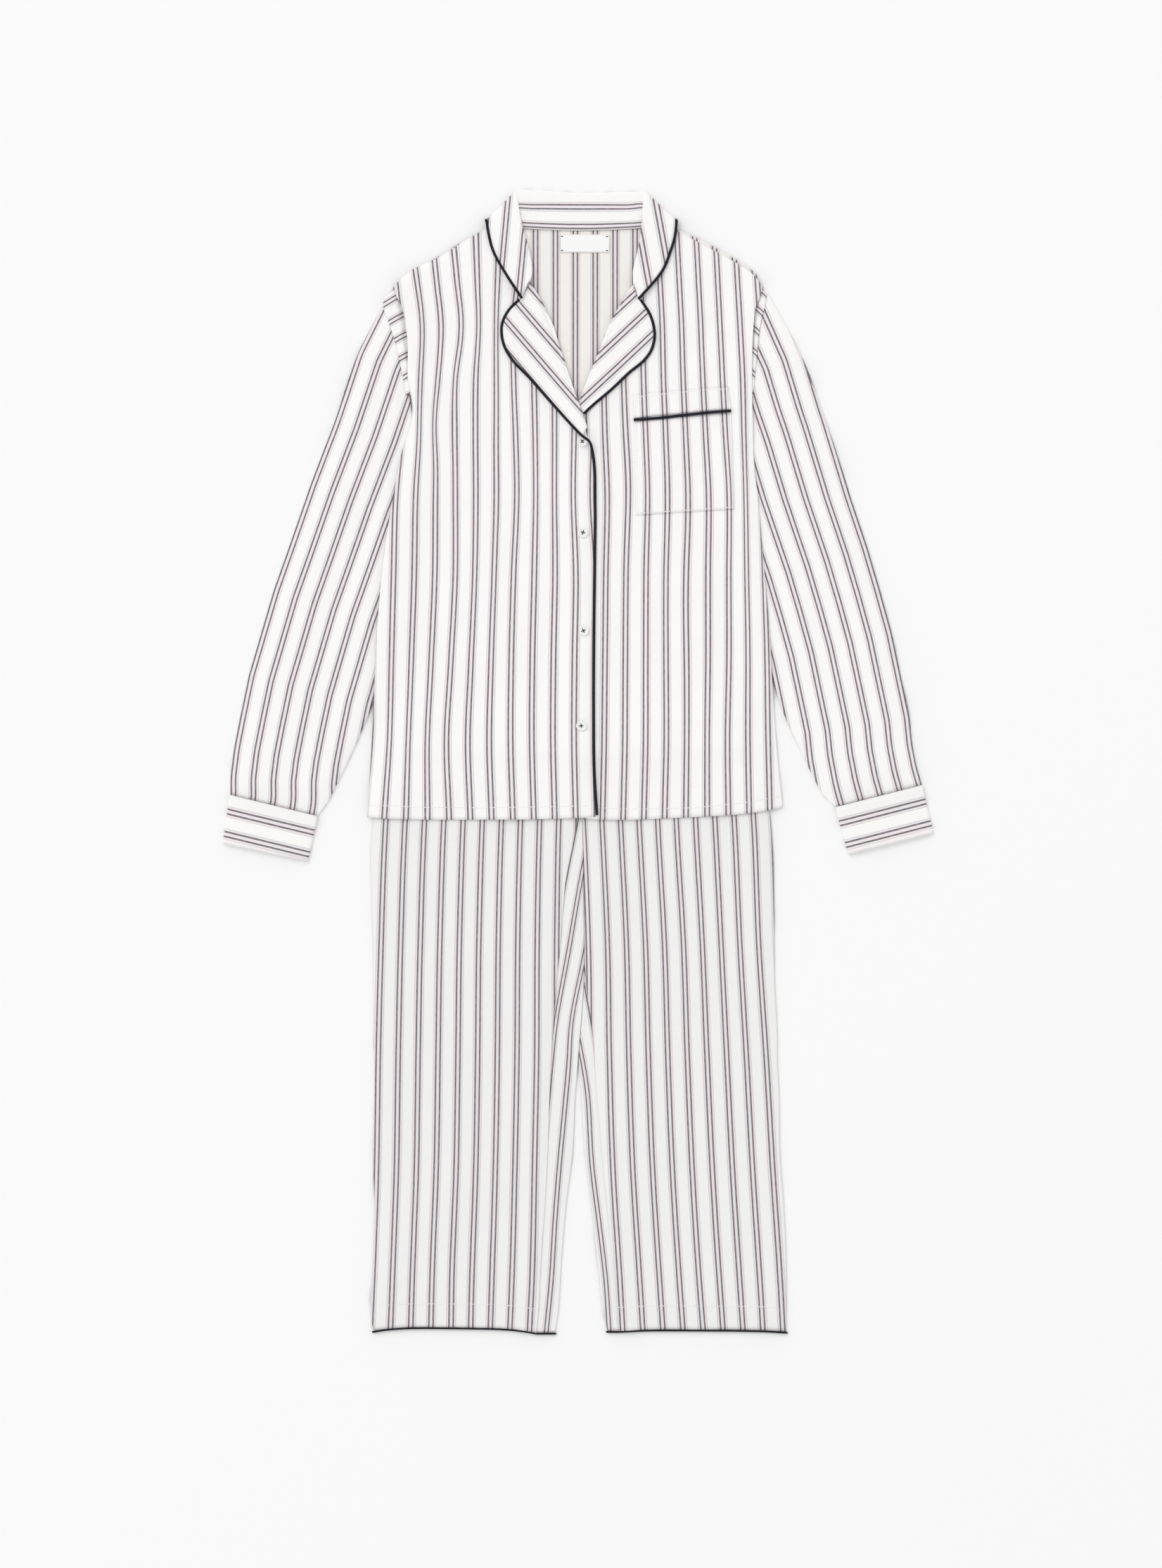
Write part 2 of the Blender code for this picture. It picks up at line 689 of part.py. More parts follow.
def main():
    for old in list(bpy.data.objects):
        bpy.data.objects.remove(old, do_unlink=True)
    shirt = material("striped_cotton_shirt", (0.90, 0.88, 0.87), 0.85)
    trousers = material("striped_cotton_trousers", (0.82, 0.81, 0.80), 0.85)
    navy = material("navy_piping", (0.02, 0.02, 0.035), 0.7)
    pearl = material("pearl_button", (0.92, 0.91, 0.88), 0.3)
    satin = material("label_satin", (0.96, 0.96, 0.95), 0.5)

    # The trousers, from the floor up
    legs = {"right": RIGHT_LEG, "left": LEFT_LEG}
    for side, table in legs.items():
        lay_panel(f"trouser_back_{side}", table, 8, CLOTH, trousers, step=LONG_CELL, reach=TOUCH)
    hems = {}
    for side, table in legs.items():
        points = lay_panel(
            f"trouser_front_{side}", table, 10, CLOTH, trousers, FRONT_LOFT, LEG_CREASES, LONG_CELL, TOUCH)
        hems[side] = points[-1]
    lay_tube("waistband", WAISTBAND, 8, DOUBLE, trousers, BAND_LOFT)
    for side, hem in hems.items():
        add_to_pile(hem_piping(f"hem_piping_{side}", hem, navy))

    # The sleeves and cuffs
    for side, sleeve, cuff in (("right", RIGHT_SLEEVE, RIGHT_CUFF), ("left", LEFT_SLEEVE, LEFT_CUFF)):
        lay_tube(f"sleeve_{side}", sleeve, 7, CLOTH, shirt, SLEEVE_LOFT, SLEEVE_CREASES)
        lay_tube(f"cuff_{side}", cuff, 6, DOUBLE, shirt, BAND_LOFT)

    # The body of the shirt, the right front over the left one
    lay_panel("shirt_back", SHIRT_BACK, 16, CLOTH, shirt, reach=BODY_REACH)
    lay_panel("label", LABEL, 2, LABEL_CLOTH, satin)
    lay_panel("shirt_front_left", LEFT_FRONT, 8, CLOTH, shirt, FRONT_LOFT, FRONT_CREASES, reach=BODY_REACH)
    right_front = lay_panel(
        "shirt_front_right", RIGHT_FRONT, 8, CLOTH, shirt, FRONT_LOFT, FRONT_CREASES, reach=BODY_REACH)
    for i, (x, y) in enumerate(BUTTON_PLACES):
        add_to_pile(make_button(f"button_{i + 1}", x, y, pearl))

    # The lapels and their piping, which runs on down the right front's edge
    left_lapel = lay_panel("facing_left", LEFT_LAPEL, 4, DOUBLE, shirt, step=LAPEL_CELL)
    line = beside(edge_line(left_lapel, -1), NECK_MIDDLE, PIPING / 2 + SEAM_GAP)
    add_to_pile(piping("lapel_piping_left", laid_path(line, PIPING), PIPING, navy))
    right_lapel = lay_panel("facing_right", RIGHT_LAPEL, 4, DOUBLE, shirt, step=LAPEL_CELL)
    line = beside(edge_line(right_lapel, -1), NECK_MIDDLE, PIPING / 2 + SEAM_GAP)
    front_edge = [p for p in edge_line(right_front, -1) if p[1] < BREAK_Y]
    line += beside(front_edge, RIGHT_CHEST, PIPING / 2 + SEAM_GAP)
    piping("front_piping_right", laid_path(line, PIPING), PIPING, navy)

    # The pocket, its band and the piping between them
    lay_panel("pocket", POCKET, 4, CLOTH, shirt)
    lay_panel("pocket_band", POCKET_BAND, 4, DOUBLE, shirt)
    piping("pocket_piping", laid_path(POCKET_SEAM, PIPING), PIPING, navy)

    make_collar(shirt, navy)
    centre_on_floor()


main()
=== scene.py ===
import math
from collections import namedtuple

import bpy
import numpy as np
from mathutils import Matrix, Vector


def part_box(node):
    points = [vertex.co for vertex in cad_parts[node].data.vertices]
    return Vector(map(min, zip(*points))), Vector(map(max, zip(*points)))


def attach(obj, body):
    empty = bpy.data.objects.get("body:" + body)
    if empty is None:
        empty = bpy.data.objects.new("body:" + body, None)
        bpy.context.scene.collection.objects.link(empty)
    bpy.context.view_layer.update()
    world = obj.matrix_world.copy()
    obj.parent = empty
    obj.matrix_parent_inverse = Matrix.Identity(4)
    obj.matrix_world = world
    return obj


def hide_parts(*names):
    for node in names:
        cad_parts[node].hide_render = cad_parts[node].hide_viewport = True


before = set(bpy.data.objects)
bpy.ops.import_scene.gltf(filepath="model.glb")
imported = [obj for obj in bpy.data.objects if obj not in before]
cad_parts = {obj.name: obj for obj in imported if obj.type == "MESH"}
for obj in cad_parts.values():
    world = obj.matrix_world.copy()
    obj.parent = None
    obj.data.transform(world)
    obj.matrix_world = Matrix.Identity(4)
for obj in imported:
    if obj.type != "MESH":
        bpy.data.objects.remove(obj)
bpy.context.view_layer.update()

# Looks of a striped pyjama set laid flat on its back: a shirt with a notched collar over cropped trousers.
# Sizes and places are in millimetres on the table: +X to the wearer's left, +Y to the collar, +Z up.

mm = 0.001
labelPlace = {"left": -20.5, "bottom": 580, "overTable": 0.05}  # where the tables below have the label
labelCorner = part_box("label")[0]
tableShift = np.array([
    labelCorner.x / mm - labelPlace["left"],
    labelCorner.y / mm - labelPlace["bottom"],
    labelPlace["overTable"],
])


# The camera and the light

studio = {
    "aim": (3.3, -25.2), "height": 4500, "frameHeight": 1784, "sensor": 36, "farthest": 100,
    "skyStrength": 0.825, "skyColour": (1.0, 1.0, 1.0),
    "lampPlace": (-10.0, 10.6, 19.4), "lampSize": 15, "lampPower": 1500,
    "floorSize": 14, "floorDrop": 0.0003, "floorColour": (0.945, 0.945, 0.945), "floorRoughness": 0.9,
}


def deselectAll():
    if bpy.context.mode != "OBJECT":
        bpy.ops.object.mode_set(mode="OBJECT")
    bpy.ops.object.select_all(action="DESELECT")


def selectOnly(*pieces):
    deselectAll()
    for piece in pieces:
        piece.select_set(True)
    bpy.context.view_layer.objects.active = pieces[0]


def makeStudio():
    scene = bpy.context.scene
    scene.view_settings.view_transform = "Standard"
    camera = bpy.data.objects.new("camera", bpy.data.cameras.new("camera"))
    scene.collection.objects.link(camera)
    camera.location = (studio["aim"][0] * mm, studio["aim"][1] * mm, studio["height"] * mm)
    camera.data.sensor_width = studio["sensor"]
    camera.data.lens = studio["sensor"] * studio["height"] / studio["frameHeight"]
    camera.data.clip_end = studio["farthest"]
    scene.camera = camera
    sky = bpy.data.worlds.new("softRoom")
    sky.use_nodes = True
    back = sky.node_tree.nodes["Background"]
    back.inputs["Color"].default_value = (*studio["skyColour"], 1)
    back.inputs["Strength"].default_value = studio["skyStrength"]
    scene.world = sky
    lamp = bpy.data.objects.new("softbox", bpy.data.lights.new("softbox", "AREA"))
    lamp.data.energy = studio["lampPower"]
    lamp.data.size = studio["lampSize"]
    lamp.location = studio["lampPlace"]
    lamp.rotation_euler = (-lamp.location).to_track_quat("-Z", "Y").to_euler()
    scene.collection.objects.link(lamp)
    deselectAll()
    bpy.ops.mesh.primitive_plane_add(size=studio["floorSize"], location=(0, 0, -studio["floorDrop"]))
    floor = bpy.context.object
    floor.name = "floor"
    paper, _, shader = newMaterial("palePaper", Roughness=studio["floorRoughness"], Specular_IOR_Level=0.1)
    shader.inputs["Base Color"].default_value = (*studio["floorColour"], 1)
    floor.data.materials.append(paper)


# Shader building

def wire(tree, socket, value):
    if isinstance(value, bpy.types.NodeSocket):
        tree.links.new(value, socket)
    else:
        socket.default_value = value


def addNode(tree, kind, values=(), **settings):
    node = tree.nodes.new(kind)
    for key, value in settings.items():
        setattr(node, key, value)
    for socket, value in dict(values).items():
        wire(tree, node.inputs[socket], value)
    return node


def calc(tree, operation, *values):
    return addNode(tree, "ShaderNodeMath", enumerate(values), operation=operation).outputs[0]


def clamped(tree, value):
    return addNode(tree, "ShaderNodeClamp", {"Value": value}).outputs[0]


def blend(tree, share, first, second):
    # a colour mix's own sockets: 0 the share, 6 and 7 the colours, 2 the result
    return addNode(tree, "ShaderNodeMix", {0: share, 6: first, 7: second}, data_type="RGBA").outputs[2]


def noise(tree, vector, detail, scale=1.0, **more):
    values = {"Vector": vector, "Scale": scale, "Detail": detail, **more}
    return addNode(tree, "ShaderNodeTexNoise", values).outputs["Fac"]


def band(tree, distance, halfWidth, soft):
    # 1 where the distance is under halfWidth, easing to 0 over soft
    return addNode(tree, "ShaderNodeMapRange", {
        "Value": distance, "From Min": calc(tree, "ADD", halfWidth, soft),
        "From Max": calc(tree, "SUBTRACT", halfWidth, soft), "To Min": 0.0, "To Max": 1.0,
    }, interpolation_type="SMOOTHSTEP").outputs["Result"]


def newGroup(name, takes, gives):
    group = bpy.data.node_groups.new(name, "ShaderNodeTree")
    for label, kind, value in takes:
        socket = group.interface.new_socket(name=label, in_out="INPUT", socket_type="NodeSocket" + kind)
        if value is not None:
            socket.default_value = value
    for label, kind in gives:
        group.interface.new_socket(name=label, in_out="OUTPUT", socket_type="NodeSocket" + kind)
    return group, group.nodes.new("NodeGroupInput").outputs, group.nodes.new("NodeGroupOutput").inputs


stripeYarn = {  # lengths in metres, frequencies per metre, and shares of 1
    "fleckAcross": 1500.0, "fleckAlong": 160.0, "driftStep": 7.3, "driftAlong": 14.0,
    "lineSoft": 0.0004, "betweenSoft": 0.0005, "betweenShare": 0.66, "inkLeast": 0.62, "inkFleck": 0.62,
    "flankHalf": 0.00045, "flankSoft": 0.0004, "flankLeast": 0.5, "flankFleck": 0.6,
    "glowReach": 0.0020, "glowHalf": 0.0011, "glowSoft": 0.0007, "glowShare": 0.42, "warmSide": 0.35,
    "warmDrift": 2.2,
}


def makeStripeGroup():
    # two dark lines with a thin pale line on either side, along V, at each whole pitch of U
    group, take, give = newGroup("wovenStripes", [
        ("Place", "Vector", None), ("Pitch", "Float", 0.0235), ("Line Width", "Float", 0.0017),
        ("Line Gap", "Float", 0.005), ("Flank Reach", "Float", 0.0055),
        ("Ground", "Color", (0.9, 0.9, 0.9, 1)),
        ("Line", "Color", (0.3, 0.28, 0.3, 1)), ("Between", "Color", (0.8, 0.75, 0.77, 1)),
        ("Warm Flank", "Color", (0.8, 0.72, 0.72, 1)), ("Cool Flank", "Color", (0.72, 0.72, 0.74, 1)),
    ], [("Color", "Color"), ("Ink", "Float")])
    s = stripeYarn
    plus, minus, times = (
        lambda a, b, kind=kind: calc(group, kind, a, b) for kind in ("ADD", "SUBTRACT", "MULTIPLY"))
    size = lambda value: calc(group, "ABSOLUTE", value)
    parts = addNode(group, "ShaderNodeSeparateXYZ", {"Vector": take["Place"]}).outputs
    turns = plus(calc(group, "DIVIDE", parts["X"], take["Pitch"]), 0.5)
    number = calc(group, "FLOOR", turns)
    offset = times(minus(minus(turns, number), 0.5), take["Pitch"])
    # uneven yarn: long thin flecks along the stripe, and a slow drift of its tint
    along = addNode(group, "ShaderNodeCombineXYZ", {
        "X": times(parts["X"], s["fleckAcross"]), "Y": times(parts["Y"], s["fleckAlong"]), "Z": number})
    fleck = noise(group, along.outputs[0], 2.0)
    slow = addNode(group, "ShaderNodeCombineXYZ", {
        "X": times(number, s["driftStep"]), "Y": times(parts["Y"], s["driftAlong"])})
    drift = noise(group, slow.outputs[0], 1.0)
    distance = size(offset)
    halfGap = times(take["Line Gap"], 0.5)
    line = band(group, size(minus(distance, halfGap)), times(take["Line Width"], 0.5), s["lineSoft"])
    between = band(group, distance, halfGap, s["betweenSoft"])
    flank = band(group, size(minus(distance, take["Flank Reach"])), s["flankHalf"], s["flankSoft"])
    glow = band(group, size(minus(distance, plus(halfGap, s["glowReach"]))), s["glowHalf"], s["glowSoft"])
    side = times(calc(group, "SIGN", offset), s["warmSide"])
    warm = clamped(group, plus(plus(side, times(minus(drift, 0.5), s["warmDrift"])), 0.5))
    flankColour = blend(group, warm, take["Cool Flank"], take["Warm Flank"])
    colour = blend(group, times(between, s["betweenShare"]), take["Ground"], take["Between"])
    colour = blend(group, times(glow, s["glowShare"]), colour, flankColour)
    flankShare = times(flank, plus(s["flankLeast"], times(fleck, s["flankFleck"])))
    colour = blend(group, flankShare, colour, flankColour)
    ink = times(line, clamped(group, plus(s["inkLeast"], times(fleck, s["inkFleck"]))))
    wire(group, give["Color"], blend(group, ink, colour, take["Line"]))
    wire(group, give["Ink"], ink)
    return group


weaveYarn = {
    "warpScale": (2200.0, 90.0, 1.0), "weftScale": (80.0, 2000.0, 1.0), "slubDetail": 3.0,
    "crumpleScale": 42.0, "crumpleRoughness": 0.45, "yarnHeight": 0.12, "slubHeight": 0.12,
}


def makeWeaveGroup():
    # plain weave: over-and-under yarns, with slubs, and a soft crumple of the whole cloth
    group, take, give = newGroup("plainWeave", [
        ("Place", "Vector", None), ("Object Place", "Vector", None),
        ("Yarn Pitch", "Float", 0.0004), ("Crumple", "Float", 1.0),
    ], [("Height", "Float"), ("Shade", "Float")])
    s = weaveYarn
    plus, times = (lambda a, b, kind=kind: calc(group, kind, a, b) for kind in ("ADD", "MULTIPLY"))
    parts = addNode(group, "ShaderNodeSeparateXYZ", {"Vector": take["Place"]}).outputs
    waves = [
        calc(group, "SINE", calc(group, "DIVIDE", times(parts[axis], math.pi), take["Yarn Pitch"]))
        for axis in ("X", "Y")]
    slub, weft = (
        noise(
            group,
            addNode(group, "ShaderNodeMapping", {"Vector": take["Place"], "Scale": s[scale]}).outputs[0],
            s["slubDetail"])
        for scale in ("warpScale", "weftScale"))
    crumple = noise(
        group, take["Object Place"], s["slubDetail"], s["crumpleScale"], Roughness=s["crumpleRoughness"])
    height = plus(times(times(*waves), s["yarnHeight"]), times(plus(slub, weft), s["slubHeight"]))
    wire(group, give["Height"], plus(height, times(crumple, take["Crumple"])))
    wire(group, give["Shade"], plus(times(slub, 0.5), times(weft, 0.5)))
    return group


def newMaterial(name, **sockets):
    made = bpy.data.materials.new(name)
    made.use_nodes = True
    tree = made.node_tree
    shader = tree.nodes["Principled BSDF"]
    for label, value in sockets.items():
        shader.inputs[label.replace("_", " ")].default_value = value
    return made, tree, shader


def addBump(tree, shader, height, distance, strength):
    bump = addNode(tree, "ShaderNodeBump", {"Height": height, "Distance": distance, "Strength": strength})
    wire(tree, shader.inputs["Normal"], bump.outputs[0])


def objectPlace(tree):
    return addNode(tree, "ShaderNodeTexCoord").outputs["Object"]


def clothPlace(tree):
    return addNode(tree, "ShaderNodeUVMap", uv_map="cloth").outputs[0]


def addWeave(tree, place, wholePlace, yarnPitch, crumple):
    return addNode(tree, "ShaderNodeGroup", {
        "Place": place, "Object Place": wholePlace, "Yarn Pitch": yarnPitch, "Crumple": crumple,
    }, node_tree=weaveGroup).outputs


stripes = {
    "line": (0.154, 0.124, 0.140, 1), "between": (0.80, 0.722, 0.768, 1), "lineWidth": 0.0019,
    "warmFlank": (0.745, 0.625, 0.650, 1), "coolFlank": (0.655, 0.628, 0.655, 1),
    "shirtGround": (0.965, 0.953, 0.946, 1), "trouserGround": (0.885, 0.88, 0.87, 1),
    # the inside ground is the cloth's wrong side, made darker and warmer also as painted shade for the
    # shadow inside the neck
    "insideShadedGround": (0.905, 0.88, 0.85, 1), "yarnPitch": 0.0004, "crumple": 1.3, "bumpDepth": 0.0004,
    "bump": 0.6,
}


def clothMaterial(name, ground, darker):
    made, tree, shader = newMaterial(
        name, Roughness=0.85, Sheen_Weight=0.12, Sheen_Roughness=0.5, Specular_IOR_Level=0.15)
    place = clothPlace(tree)
    weave = addWeave(tree, place, objectPlace(tree), stripes["yarnPitch"], stripes["crumple"])
    dim = lambda colour: (*(part * darker for part in colour[:3]), 1)
    woven = addNode(tree, "ShaderNodeGroup", {
        "Place": place, "Line Width": stripes["lineWidth"], "Ground": ground, "Line": stripes["line"],
        "Between": dim(stripes["between"]), "Warm Flank": dim(stripes["warmFlank"]),
        "Cool Flank": dim(stripes["coolFlank"]),
    }, node_tree=stripeGroup)
    tint = addNode(tree, "ShaderNodeMapRange", {
        "Value": weave["Shade"], "From Min": 0.3, "From Max": 0.7, "To Min": 0.965, "To Max": 1.02})
    colour = addNode(tree, "ShaderNodeVectorMath", {
        0: woven.outputs["Color"], "Scale": tint.outputs[0]}, operation="SCALE")
    wire(tree, shader.inputs["Base Color"], colour.outputs[0])
    addBump(tree, shader, weave["Height"], stripes["bumpDepth"], stripes["bump"])
    return made


def tapeMaterial():
    made, tree, shader = newMaterial("navyTape", Roughness=0.75, Sheen_Weight=0.06, Specular_IOR_Level=0.15)
    fibre = noise(tree, objectPlace(tree), 3.0, 1900.0)
    wire(
        tree, shader.inputs["Base Color"],
        blend(tree, fibre, (0.006, 0.006, 0.010, 1), (0.018, 0.018, 0.027, 1)))
    addBump(tree, shader, fibre, 0.0002, 0.5)
    return made


def buttonMaterial():
    made, tree, shader = newMaterial("pearlWhite", Roughness=0.24, Coat_Weight=0.35, Coat_Roughness=0.1)
    cloud = noise(tree, objectPlace(tree), 4.0, 190.0, Distortion=1.5)
    wire(
        tree, shader.inputs["Base Color"],
        blend(tree, cloud, (0.86, 0.85, 0.83, 1), (0.95, 0.945, 0.935, 1)))
    rough = addNode(tree, "ShaderNodeMapRange", {"Value": cloud, "To Min": 0.18, "To Max": 0.32})
    wire(tree, shader.inputs["Roughness"], rough.outputs[0])
    return made


def satinMaterial():
    made, tree, shader = newMaterial("labelSatin", Roughness=0.5, Sheen_Weight=0.2, Specular_IOR_Level=0.35)
    place = clothPlace(tree)
    weave = addWeave(tree, place, place, 0.0003, 0.2)
    satin = blend(tree, weave["Shade"], (0.90, 0.90, 0.895, 1), (0.95, 0.95, 0.945, 1))
    wire(tree, shader.inputs["Base Color"], satin)
    addBump(tree, shader, weave["Height"], 0.0002, 0.5)
    return made


def threadMaterial(name, dark, light):
    made, tree, shader = newMaterial(name, Roughness=0.6, Sheen_Weight=0.2)
    ply = addNode(tree, "ShaderNodeTexWave", {
        "Vector": objectPlace(tree), "Scale": 420.0,
        "Distortion": 2.0}, bands_direction="DIAGONAL").outputs["Fac"]
    wire(tree, shader.inputs["Base Color"], blend(tree, ply, dark, light))
    addBump(tree, shader, ply, 0.0001, 0.6)
    return made


# What is already laid down, as a raster of the highest cloth over the table

tableMap = {"cell": 1.5, "left": -445.0, "bottom": -695.0, "columns": 595, "rows": 930}
pileTop = np.zeros((tableMap["rows"], tableMap["columns"]))


def spotsOf(x, y):
    i = np.clip(((y - tableMap["bottom"]) / tableMap["cell"]).astype(int), 0, tableMap["rows"] - 1)
    k = np.clip(((x - tableMap["left"]) / tableMap["cell"]).astype(int), 0, tableMap["columns"] - 1)
    return i, k


def spreadOut(field, reach):
    # the highest value within reach of each cell
    steps = max(1, math.ceil(reach / tableMap["cell"]))
    for axis in (0, 1):
        best = field.copy()
        for step in range(1, steps + 1):
            best = np.maximum(best, np.maximum(np.roll(field, step, axis), np.roll(field, -step, axis)))
        field = best
    return field


def addToPile(points, raised=0.0):
    # points[row][column] of a sheet, filled in to finer than a cell; its upper side is raised over them
    rows, columns = points.shape[:2]
    fine = 5
    u = np.linspace(0, rows - 1, (rows - 1) * fine + 1)
    v = np.linspace(0, columns - 1, (columns - 1) * fine + 1)
    i = np.minimum(u.astype(int), rows - 2)
    k = np.minimum(v.astype(int), columns - 2)
    a, b = (u - i)[:, None, None], (v - k)[None, :, None]
    filled = (points[i][:, k] * (1 - a) * (1 - b) + points[i + 1][:, k] * a * (1 - b)
              + points[i][:, k + 1] * (1 - a) * b + points[i + 1][:, k + 1] * a * b)
    np.maximum.at(pileTop, spotsOf(filled[..., 0], filled[..., 1]), filled[..., 2] + raised)


# Meshes

def toMetres(points):
    return (np.asarray(points, float).reshape(-1, 3) + tableShift) * mm


def buildMesh(name, points, faces, look, cornerUV=None):
    mesh = bpy.data.meshes.new(name)
    mesh.from_pydata([Vector(p) for p in toMetres(points)], [], [tuple(int(c) for c in f) for f in faces])
    mesh.materials.append(look)
    if cornerUV is not None:
        layer = mesh.uv_layers.new(name="cloth")
        layer.data.foreach_set("uv", (np.asarray(cornerUV, float).reshape(-1, 2) * mm).ravel())
    mesh.polygons.foreach_set("use_smooth", [True] * len(mesh.polygons))
    piece = bpy.data.objects.new(name, mesh)
    bpy.context.scene.collection.objects.link(piece)
    return piece


def applyModifiers(piece):
    selectOnly(piece)
    for modifier in list(piece.modifiers):
        bpy.ops.object.modifier_apply(modifier=modifier.name)


def clothPiece(name, points, faces, look, cornerUV, thickness):
    # a sheet's middle surface made a mesh, with the cloth's thickness half on each side
    piece = buildMesh(name + "_cloth", points, faces, look, cornerUV)
    wall = piece.modifiers.new("wall", "SOLIDIFY")
    wall.thickness = thickness * mm
    wall.offset = 0
    applyModifiers(piece)
    return piece


def gridFaces(rows, columns, around=False):
    i, k = np.meshgrid(np.arange(rows - 1), np.arange(columns if around else columns - 1), indexing="ij")
    n = (k + 1) % columns
    faces = np.stack([i * columns + k, (i + 1) * columns + k, (i + 1) * columns + n, i * columns + n], -1)
    return faces.reshape(-1, 4)


def faceUp(points, faces, upper=slice(None)):
    # turns all faces over where the upper ones mostly look down
    a, b, c = (points[faces[upper, j]] for j in range(3))
    return faces if np.cross(b - a, c - a)[:, 2].sum() > 0 else faces[:, ::-1]


def hermite(start, end, startSlope, endSlope, t):
    return (start * (1 + 2 * t) * (1 - t) ** 2 + startSlope * t * (1 - t) ** 2
            + end * t * t * (3 - 2 * t) + endSlope * t * t * (t - 1))


def lengthAlong(line):
    return np.concatenate([[0], np.cumsum(np.linalg.norm(np.diff(line, axis=0), axis=1))])


def smoothRows(rows, step):
    # the table's rows as a smooth run, with one about every step
    table = np.array(rows, float)
    middles = (table[:, 0:2] + table[:, 2:4]) / 2
    spans = np.linalg.norm(np.diff(middles, axis=0), axis=1)
    slopes = np.gradient(table, lengthAlong(middles), axis=0)
    found = []
    for i, span in enumerate(spans):
        parts = max(1, round(span / step))
        t = (np.arange(parts) / parts)[:, None]
        found.append(hermite(table[i], table[i + 1], slopes[i] * span, slopes[i + 1] * span, t))
    return np.concatenate(found + [table[-1:]])


def smoothCurve(places, values, x):
    # a smooth curve through (places, values), read at x and carried on straight past its ends; places rise
    slopes = np.gradient(values, places)
    j = np.clip(np.searchsorted(places, x) - 1, 0, len(places) - 2)
    span = places[j + 1] - places[j]
    t = (x - places[j]) / span
    inside = np.clip(t, 0, 1)
    found = hermite(values[j], values[j + 1], slopes[j] * span, slopes[j + 1] * span, inside)
    return found + (t - inside) * span * np.where(inside > 0.5, slopes[j + 1], slopes[j])


Row = namedtuple("Row", "leftX leftY rightX rightY dip lift", defaults=(0.0, 0.0))
Crease = namedtuple("Crease", "startX startY endX endY width depth")  # a ridge where depth is negative
Nudge = namedtuple("Nudge", "x y shift wide long")  # the stripes near (x, y) move sideways by shift

sheetDefaults = {
    "wall": 0.7, "step": 5.0, "gap": 0.35, "reach": 4.0, "ease": 10, "loft": 0.0, "roll": 7.0, "rolled": (),
    "unevenness": 0.35, "creases": (), "along": lambda x, y: y, "held": "laid", "restsOn": (), "area": None,
}
tubeDefaults = {
    **sheetDefaults, "roll": 9.0, "edge": 1.5, "columns": 40, "reach": 3.0, "endFlat": 1.0,
    "press": lambda x, y: 1.0}
stripePitch = 23.5
sideColumns = (1.3, 2.86)  # the two columns nearest a sheet's side
sideEase = 12  # how far in from a rolled side the loft is full
laid = {}


def acrossRows(table, u):
    # points at the shares u of each row, which its dip bends
    x = table[:, 0:1] + (table[:, 2:3] - table[:, 0:1]) * u
    y = table[:, 1:2] + (table[:, 3:4] - table[:, 1:2]) * u - table[:, 4:5] * (1 - (2 * u - 1) ** 4)
    return x, y


def rowWidths(table):
    return np.hypot(table[:, 2] - table[:, 0], table[:, 3] - table[:, 1])


def planOf(spec):
    # the sheet seen from above: its points, how far each is from its two sides, and its least height
    table = smoothRows(spec["rows"], spec["step"])
    width = rowWidths(table)
    u = np.linspace(0, 1, max(4, round(width.max() / spec["step"])) + 1)
    near = np.array(sideColumns) / width.max()
    u = np.unique(np.concatenate([u, near, 1 - near]))
    x, y = acrossRows(table, u)
    return x, y, u * width[:, None], (1 - u) * width[:, None], np.repeat(table[:, 5:6], len(u), 1)


def creaseDepth(x, y, creases):
    deep = np.zeros_like(x)
    for c in creases:
        dx, dy = c.endX - c.startX, c.endY - c.startY
        t = ((x - c.startX) * dx + (y - c.startY) * dy) / (dx * dx + dy * dy)
        taper = np.clip(np.minimum(t + 0.15, 1.15 - t) / 0.4, 0, 1)
        t = np.clip(t, 0, 1)
        off = np.hypot(x - c.startX - t * dx, y - c.startY - t * dy)
        deep += c.depth * np.exp(-((off / c.width) ** 2)) * taper * taper * (3 - 2 * taper)
    return deep


def undulation(x, y, seed, height):
    # a faint unevenness, as cloth has that was smoothed by hand
    draw = np.random.default_rng(seed)
    total = np.zeros_like(x)
    for length in (150.0, 110.0, 85.0, 62.0, 48.0):
        angle, phase = draw.uniform(0, math.pi), draw.uniform(0, 2 * math.pi)
        total += length * np.sin(2 * math.pi * (x * math.cos(angle) + y * math.sin(angle)) / length + phase)
    return height * total / 300.0


def easeHeights(least, turns):
    heights = least.copy()
    for _ in range(turns):
        wide = np.pad(heights, 1, mode="edge")
        mean = (wide[:-2, 1:-1] + wide[2:, 1:-1] + wide[1:-1, :-2] + wide[1:-1, 2:]) / 4
        heights = np.maximum(least, mean)
    return heights


def stripesOf(spec, guide="guide", numbers="numbers"):
    # gives the number of the stripe at (x, y), from lines that follow numbered stripes down the cloth
    table, marks = np.array(spec[guide], float)[::-1], list(spec[numbers])

    def numberAt(x, y):
        for n in spec.get("nudges", ()):
            x = x - n.shift * np.exp(-((x - n.x) / n.wide) ** 2 - ((y - n.y) / n.long) ** 2)
        lines = [smoothCurve(table[:, 0], table[:, j + 1], y) for j in range(len(marks))]
        order = 1 if lines[-1].mean() > lines[0].mean() else -1
        lines, turned = lines[::order], marks[::order]
        found = turned[0] + (x - lines[0]) * (turned[1] - turned[0]) / (lines[1] - lines[0])
        for a, b, m, n in zip(lines[1:], lines[2:], turned[1:], turned[2:]):
            found = np.where(x > a, m + (x - a) * (n - m) / (b - a), found)
        return found

    return numberAt


def finishPiece(piece, nodes, sheet=None):
    if nodes:
        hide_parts(*nodes)
    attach(piece, "root")
    if sheet:
        sheet = {**sheetDefaults, **sheet}


